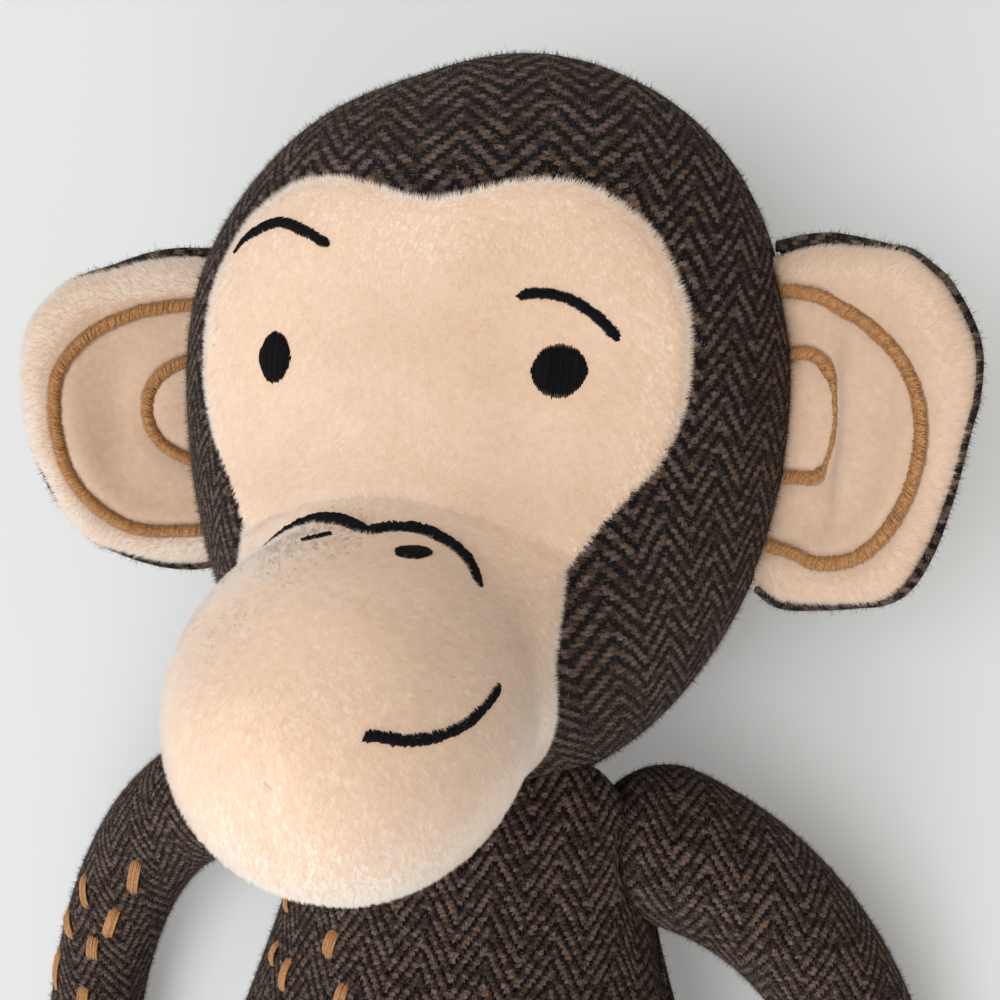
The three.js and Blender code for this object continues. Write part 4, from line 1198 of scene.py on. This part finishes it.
FACE_NAP = (0.25, -0.8, -0.5)
face, muzzle = head_surface["face"], head_surface["muzzle"]
muzzle_side, muzzle_end = muzzle[:MUZZLE_SPLIT + 1], muzzle[MUZZLE_SPLIT:]
face_run = run_length(face)
face_ruffle = lerp(0.9, 0.25, smoothstep(face_run[-1:] - face_run, 8, 28))
# The end of the muzzle is fluffier underneath, and paler there as a painted highlight of the light from below.
muzzle_low = 1 - smoothstep(muzzle_end[..., 1], 64, 98)
for name, rows, per_cm2, ruffle, pale, fringe in (
        ("face_pile", face, FACE_PILE_PER_CM2, face_ruffle, 0.0, ()),
        ("face_fringe", face[-FRINGE_ROWS:], FRINGE_PER_CM2, 1.0, 0.0, (-1,)),
        ("muzzle_side_pile", muzzle_side, MUZZLE_PILE_PER_CM2, 0.6, 0.1, ()),
        ("muzzle_end_pile", muzzle_end, MUZZLE_PILE_PER_CM2, 0.6 + 0.6 * muzzle_low, 0.7 * muzzle_low, ()),
        ("muzzle_fringe", muzzle[:FRINGE_ROWS, FRINGE_START:], FRINGE_PER_CM2, 1.0, 0.0, (0,))):
    length, width = (FRINGE_LENGTH, FRINGE_WIDTH) if fringe else (PILE_LENGTH, PILE_WIDTH)
    pile = lay_pile(
        name, rows, head_inside, 61, per_cm2, FACE_NAP, length, width, ruffle, pale, beside_stitches, fringe)
    dress(pile, PILE, "head")

# Ears
# Each ear is a flap of plush, darkened as painted shade and backed with tweed, turned and pressed so that the
# tweed rolls over much of its edge, and caught in the head's side seam. Two loops of golden brown satin stitch quilt
# it.
EAR_HINGE, EAR_SWEEP, RIGHT_EAR_DROP = 9.0, math.radians(25), 6.0
EAR_COLUMNS, EAR_ROWS, ROLL_ROWS = 170, 46, 9
LOOP_WIDTH, LOOP_GAP, LOOP_THREAD = 3.9, 0.36, 0.2
PLUSH_INSET, ROLL_HEIGHT, EAR_PUFF, BACK_PUFF, EAR_SOFT_EDGE = 0.9, 1.5, 4.4, 2.6, 6.5
QUILT_DEPTH, QUILT_WIDTH, EAR_DISH, CREASE, CUP, FOLD_HALF = 1.2, 3.0, 1.3, 2.0, 2.6, 7.0
EAR_FUZZ_PER_CM2, EAR_PILE_PER_CM2, EAR_PLUSH_WALL, EAR_TWEED_WALL = 450, 1200, 1.5, 0.8
# The ears' plush is evenly darkened as painted shade. Its band along the rim is painted lighter on the right ear and
# darker on the left, as painted light and painted shade.
EAR_PAINTED_SHADE, EAR_RIM_LIGHT_AND_SHADE = 0.8, {"left": -0.1, "right": 0.45}
EAR_PILE = plush_finish("ear pile", True, EAR_PAINTED_SHADE)
EAR_BACKING = plush_finish("ear plush backing", False, EAR_PAINTED_SHADE)
EAR_EDGE = {
    "left": [
        (-16.3, 36.2), (-8.3, 38.3), (-0.3, 39.2), (11.5, 38.9), (19.1, 37.8), (25.2, 33.9), (29.1, 30.6),
        (33.9, 24.1), (37.2, 17.6), (38.4, 11.7), (38.3, 3.6), (37.0, -2.7), (35.0, -13.2), (32.4, -22.5),
        (29.4, -31.4), (25.5, -39.2), (21.0, -45.0), (13.6, -48.6), (-2.6, -51.4), (-11.2, -51.4), (-16.8, -48.2)],
    "right": [
        (-16.6, 37.7), (-6.2, 38.1), (3.4, 36.9), (12.9, 34.3), (23.2, 31.7), (30.4, 26.0), (35.3, 19.5),
        (37.9, 11.4), (38.5, 3.2), (38.0, -6.6), (36.0, -17.3), (32.6, -24.8), (28.8, -33.1), (21.8, -42.0),
        (12.9, -45.9), (1.5, -49.0), (-9.2, -49.5), (-17.5, -47.5)]}
EAR_RIM = {
    "left": [3.4, 2.6, 0.4, 0.9, 0.9, 0.5, 0.5, 1.4, 2.0, 0.7, 1.6, 3.0],
    "right": [2.6, 2.0, 0.8, -0.9, -0.9, -0.9, -0.9, 0.2, -0.9, 0.6, 1.6, 2.2]}
EAR_LOOPS = {
    "left": {
        "outer": [
            (-12.6, 27.0), (-9.1, 27.2), (-2.5, 26.4), (2.4, 24.2), (8.1, 21.6), (12.9, 18.4), (17.8, 14.5),
            (21.9, 10.0), (25.3, 4.0), (26.7, -3.4), (26.7, -10.4), (25.0, -18.2), (22.1, -25.0), (18.0, -31.3),
            (12.8, -36.1), (6.6, -38.7), (0.1, -39.5), (-5.0, -38.1), (-12.6, -37.0)],
        "inner": [
            (-9.4, 11.8), (-5.5, 12.3), (-2.1, 10.7), (0.1, 7.6), (1.6, 3.4), (2.4, -2.2), (2.2, -8.1),
            (0.7, -14.0), (-0.6, -17.4), (-2.6, -18.8), (-9.6, -19.0)]},
    "right": {
        "outer": [
            (-13.5, 24.8), (-4.6, 24.3), (5.0, 22.5), (13.7, 19.1), (20.1, 15.0), (25.8, 8.5), (28.5, 2.0),
            (28.9, -6.2), (27.9, -14.4), (25.4, -22.6), (20.3, -30.1), (12.4, -36.4), (4.4, -39.0), (-8.2, -39.1),
            (-13.0, -38.6)],
        "inner": [
            (-10.8, 10.0), (-4.3, 7.9), (0.6, 4.6), (3.4, -0.4), (4.1, -5.3), (2.8, -10.3), (-0.8, -15.2),
            (-9.8, -20.0)]}}
# How wide each loop is along its run: the left inner one is half sunk in a crease.
LOOP_SHARES = {("left", "inner"): ([0, 0.24, 0.36, 0.74, 0.8, 1], [1, 1, 0.3, 0.3, 1, 1])}


def ear_root(y, drop, side):
    """Where the ear leaves the head's side, at a height on the ear."""
    rise = y - drop
    return np.sqrt(1 - (rise / half_height(rise)) ** 2) * half_width(side) - HEAD_HALF - EAR_HINGE + 0.6


def ear_to_world(points, side, drop):
    c, s = math.cos(EAR_SWEEP), math.sin(EAR_SWEEP)
    x, y, z = side * points[..., 0], points[..., 1], points[..., 2]
    turned = np.stack([x * c - side * z * s, y, side * x * s + z * c], axis=-1)
    return to_world(turned + np.array([side * (HEAD_HALF + EAR_HINGE * c), -drop, EAR_HINGE * s]))


def edge_out(line):
    """The way out of an ear's outline, in its own plane."""
    way = unit(np.gradient(line, axis=0))
    return np.stack([-way[:, 1], way[:, 0]], axis=1)


def ear_dip(flat, name):
    """The left ear is creased down beside its root, and the right one cupped between its loops."""
    x, y = flat[..., 0], flat[..., 1]
    if name == "left":
        crease = smoothstep(x, -9, 1.4) * (1 - smoothstep(x, 1.4, 6.5))
        return CREASE * crease * (1 - smoothstep(np.abs(y + 6), 12, 34))
    return CUP * np.exp(-(((x - 11) / 7) ** 2) - ((y + 5) / 15) ** 2)


def edge_puff(far):
    """How far an ear has swelled to its full thickness, by the distance from its edge."""
    return 1 - np.clip(1 - far / EAR_SOFT_EDGE, 0, 1) ** 2


def ear_height(flat, edge_line, loops, name):
    """How far the plush of an ear stands out of its middle plane."""
    far = nearest(flat, edge_line)
    puff = edge_puff(far)
    rise = EAR_PUFF * np.sqrt(puff)
    for line in loops.values():
        rise = rise - QUILT_DEPTH * np.exp(-((nearest(flat, line) / QUILT_WIDTH) ** 2)) * puff
    return rise - EAR_DISH * smoothstep(far, 11, 20) - ear_dip(flat, name)


for name, side in SIDES.items():
    drop = RIGHT_EAR_DROP if side < 0 else 0.0

    def placed(flat, rise):
        return ear_to_world(np.concatenate([flat, rise[..., None]], axis=-1), side, drop)

    loops = {loop: spline(path, 300) for loop, path in EAR_LOOPS[name].items()}
    full_edge = spline(EAR_EDGE[name], EAR_COLUMNS)
    out = edge_out(full_edge)
    edge_line = full_edge - PLUSH_INSET * out
    inside, fold_start, fold_end = (
        ear_to_world(np.array([x, -6.0, 0.0]), side, drop) for x in (15.0, -FOLD_HALF, FOLD_HALF))
    above, below = (inside + turn_out(np.array([0, 0, way * 40.0])) for way in (1, -1))
    root_y = np.linspace(edge_line[0, 1], edge_line[-1, 1], EAR_COLUMNS)
    root_line = np.stack([ear_root(root_y, drop, side), root_y], axis=1)
    shares = np.sin(np.linspace(0, 1, EAR_ROWS) * math.pi / 2)[:, None, None]
    flat = lerp(root_line[None], edge_line[None], shares)
    front = placed(flat, ear_height(flat, edge_line, loops, name))
    flap = sew_cover(
        f"{name}_ear_front_flap", front, flat, below, EAR_BACKING, "plush", None, EAR_FILL,
        f"{name}_ear_front", wall=EAR_PLUSH_WALL)

    far = nearest(flat, edge_line)
    quilted = smoothstep(far, 8, 12)
    stitched = [
        (placed(line, ear_height(line, edge_line, loops, name)), LOOP_WIDTH * HELD_SHARE) for line in loops.values()]
    brushed = unit(np.gradient(front, axis=0)) * (1 - 0.5 * quilted)[..., None]
    # The pile's rim band is painted lighter on the right ear and darker on the left, and the pile inside the loops is
    # painted darker: painted light, and painted shade of the ear's hollow.
    pile = lay_pile(
        f"{name}_ear_pile", front, below, 71, EAR_PILE_PER_CM2, brushed, lerp(1.9, 1.0, quilted), ruffle=0.45,
        pale=lerp(EAR_RIM_LIGHT_AND_SHADE[name], -0.55, quilted), pressed=beside_stitches, fringe=(-1,))
    dress(pile, EAR_PILE)

    columns = np.linspace(0, 1, EAR_COLUMNS)
    rim = np.interp(columns, np.linspace(0, 1, len(EAR_RIM[name])), EAR_RIM[name]) + PLUSH_INSET
    back_rise = -ROLL_HEIGHT - BACK_PUFF * np.sqrt(edge_puff(far)) - ear_dip(flat, name)
    roll = np.radians(np.linspace(-90, 70, ROLL_ROWS))[1:, None]
    roll_flat = edge_line[None] + out[None] * (np.cos(roll) * rim)[..., None]
    back_flat = np.concatenate([flat, roll_flat])
    back_rise = np.concatenate([back_rise, ROLL_HEIGHT * np.minimum(np.sin(roll), 2 * rim - 1)])
    back = placed(back_flat, back_rise)
    lining = sew_cover(
        f"{name}_ear_back_flap", back, back_flat, above, TWEED, "tweed", None, EAR_FILL,
        f"{name}_ear_back", wall=EAR_TWEED_WALL)
    fuzz = lay_fuzz(f"{name}_ear_fuzz", back, above, None, 73, EAR_FUZZ_PER_CM2)
    soft = [flap, pile, lining, fuzz]

    facing = unit(ear_to_world(np.array([0, 0, 1.0]), side, drop) - ear_to_world(np.zeros(3), side, drop))
    for loop, line in loops.items():
        line = by_stitches(line, LOOP_GAP)
        points = placed(line, ear_height(line, edge_line, loops, name) + QUILT_DEPTH)
        outs = np.broadcast_to(facing, points.shape)
        along = np.linspace(0, 1, len(points))
        widths = LOOP_WIDTH * np.interp(along, *LOOP_SHARES.get((name, loop), ([0, 1], [1, 1])))
        stitches = satin_line(
            f"{name}_ear_{loop}_stitches", points, outs, widths, np.full(len(points), 1.1), 0.35, LOOP_THREAD)
        dress(stitches, SATIN_THREAD)
        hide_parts(f"{name}_ear_{loop}_loop")
        soft.append(stitches)
    for piece in soft:
        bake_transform(piece)

# Running stitches
# Loose bars of the golden brown thread, worked by hand through the tweed of the right arm and of the torso
# beside it, a few strands to each.
STRAND_SPREAD, ROUNDED_END = 1.4, 0.07
STRANDS = np.linspace(-STRAND_SPREAD, STRAND_SPREAD, 6)
RUNNING_STITCHES = {
    "right_arm": [
        ((-122.1, 29.4, 38.2), (-121.3, 19.5, 41.5)), ((-100.6, 36.9, 51.1), (-104.3, 24.5, 47.4)),
        ((-129.7, 16.2, 32.8), (-127.7, 8.0, 37.5)), ((-109.6, 19.3, 45.6), (-114.0, 9.2, 42.6)),
        ((-118.3, 9.8, 42.2), (-119.5, 1.7, 40.5)), ((-134.0, 2.3, 31.0), (-135.7, -10.9, 31.2)),
        ((-122.9, -7.2, 38.4), (-123.7, -18.1, 36.4))],
    "torso": [
        ((-46.5, 42.2, 64.0), (-46.1, 36.2, 66.3)), ((-47.1, 28.8, 67.9), (-48.0, 22.1, 69.5)),
        ((-39.9, 26.5, 73.7), (-41.1, 17.8, 75.5)), ((-24.8, 37.2, 77.6), (-26.3, 29.8, 78.8)),
        ((-19.3, 25.2, 81.6), (-20.2, 17.8, 83.1))]}
cloth_rows["torso"] = torso_front
for body, places in RUNNING_STITCHES.items():
    rows, inside = cloth_rows[body]
    cloth, cloth_out = rows.reshape(-1, 3), out_of(rows, inside).reshape(-1, 3)
    starts, ends, outs = [], [], []
    for first, last in np.array(places):
        close = np.argmin(np.linalg.norm(cloth - (first + last) / 2, axis=1))
        normal = cloth_out[close]
        first, last = (p - normal * np.dot(p - cloth[close], normal) for p in (first, last))
        across = unit(np.cross(last - first, normal))
        for strand in STRANDS:
            short = (ROUNDED_END * (strand / STRAND_SPREAD) ** 2 - ROUNDED_END) * (last - first)
            starts.append(first + across * strand + short)
            ends.append(last + across * strand - short)
            outs.append(normal)
    heights = np.full(len(starts), 1.3)
    bars = satin(f"{body}_running_stitches", np.array(starts), np.array(ends), np.array(outs), heights, 0.36)
    dress(bars, SATIN_THREAD, body)

# Floor, light and camera
# A plain pale surface with a faint glow, which is painted light, a broad soft window high over the toy's right and a
# lower one beyond its feet, and a hand-held camera over its left shoulder.
bpy.ops.object.select_all(action="DESELECT")
bpy.ops.mesh.primitive_plane_add(size=6)
floor = bpy.context.object
floor.name = "floor"
# The floor's glow is painted light, lifting the shade beside and under the toy; its colour is darker to make up for
# it.
finish, _, _ = new_finish("pale floor", {
    "Base Color": (0.475, 0.49, 0.49, 1), "Roughness": 0.6,
    "Emission Color": (1.0, 0.995, 0.985, 1), "Emission Strength": 0.2})
floor.data.materials.append(finish)

CAMERA_AT = to_world(np.array([119.8, 36.4, 381.2]))
CAMERA_RIGHT = turn_out(np.array([0.9576, 0.0224, -0.2873]))
CAMERA_UP = turn_out(np.array([-0.0689, 0.9858, -0.1530]))
CAMERA_BACK = turn_out(np.array([0.2798, 0.1663, 0.9456]))
camera = add_object("camera", bpy.data.cameras.new("camera"))
axes = Matrix([CAMERA_RIGHT.tolist(), CAMERA_UP.tolist(), CAMERA_BACK.tolist()]).transposed().to_4x4()
axes.translation = (CAMERA_AT * MM).tolist()
camera.matrix_world = axes
camera.data.lens = 54
camera.data.sensor_width = 36
camera.data.clip_start = 0.01
bpy.context.scene.camera = camera


def area_light(name, at, aim, size, power, colour):
    lamp = bpy.data.lights.new(name, "AREA")
    lamp.shape = "DISK"
    lamp.size, lamp.energy, lamp.color = size, power, colour
    made = add_object(name, lamp)
    made.location = at
    made.rotation_euler = (Vector(aim) - Vector(at)).to_track_quat("-Z", "Y").to_euler()


area_light("window", (-0.45, 0.0, 2.2), (0.0, 0.1, 0.05), 1.7, 26, (0.98, 0.99, 1.0))
area_light("low window", (-0.1, -1.8, 1.0), (-0.05, 0.0, 0.05), 1.1, 17, (1.0, 0.99, 0.97))
world = bpy.data.worlds.new("room light")
world.use_nodes = True
tree = world.node_tree
generated = add_node(tree, "ShaderNodeTexCoord").outputs["Generated"]
sideways = Term(tree, add_node(tree, "ShaderNodeSeparateXYZ", {0: generated}).outputs["X"])
hue = soft_ramp(tree, sideways * 0.5 + 0.5, [(0.2, (0.96, 0.985, 1.0)), (0.9, (1.0, 0.9, 0.79))])
glow = 0.67 - sideways * 0.18
sky = tree.nodes["Background"]
tree.links.new(hue, sky.inputs["Color"])
tree.links.new(glow.socket, sky.inputs["Strength"])
bpy.context.scene.world = world
bpy.context.scene.view_settings.view_transform = "Standard"
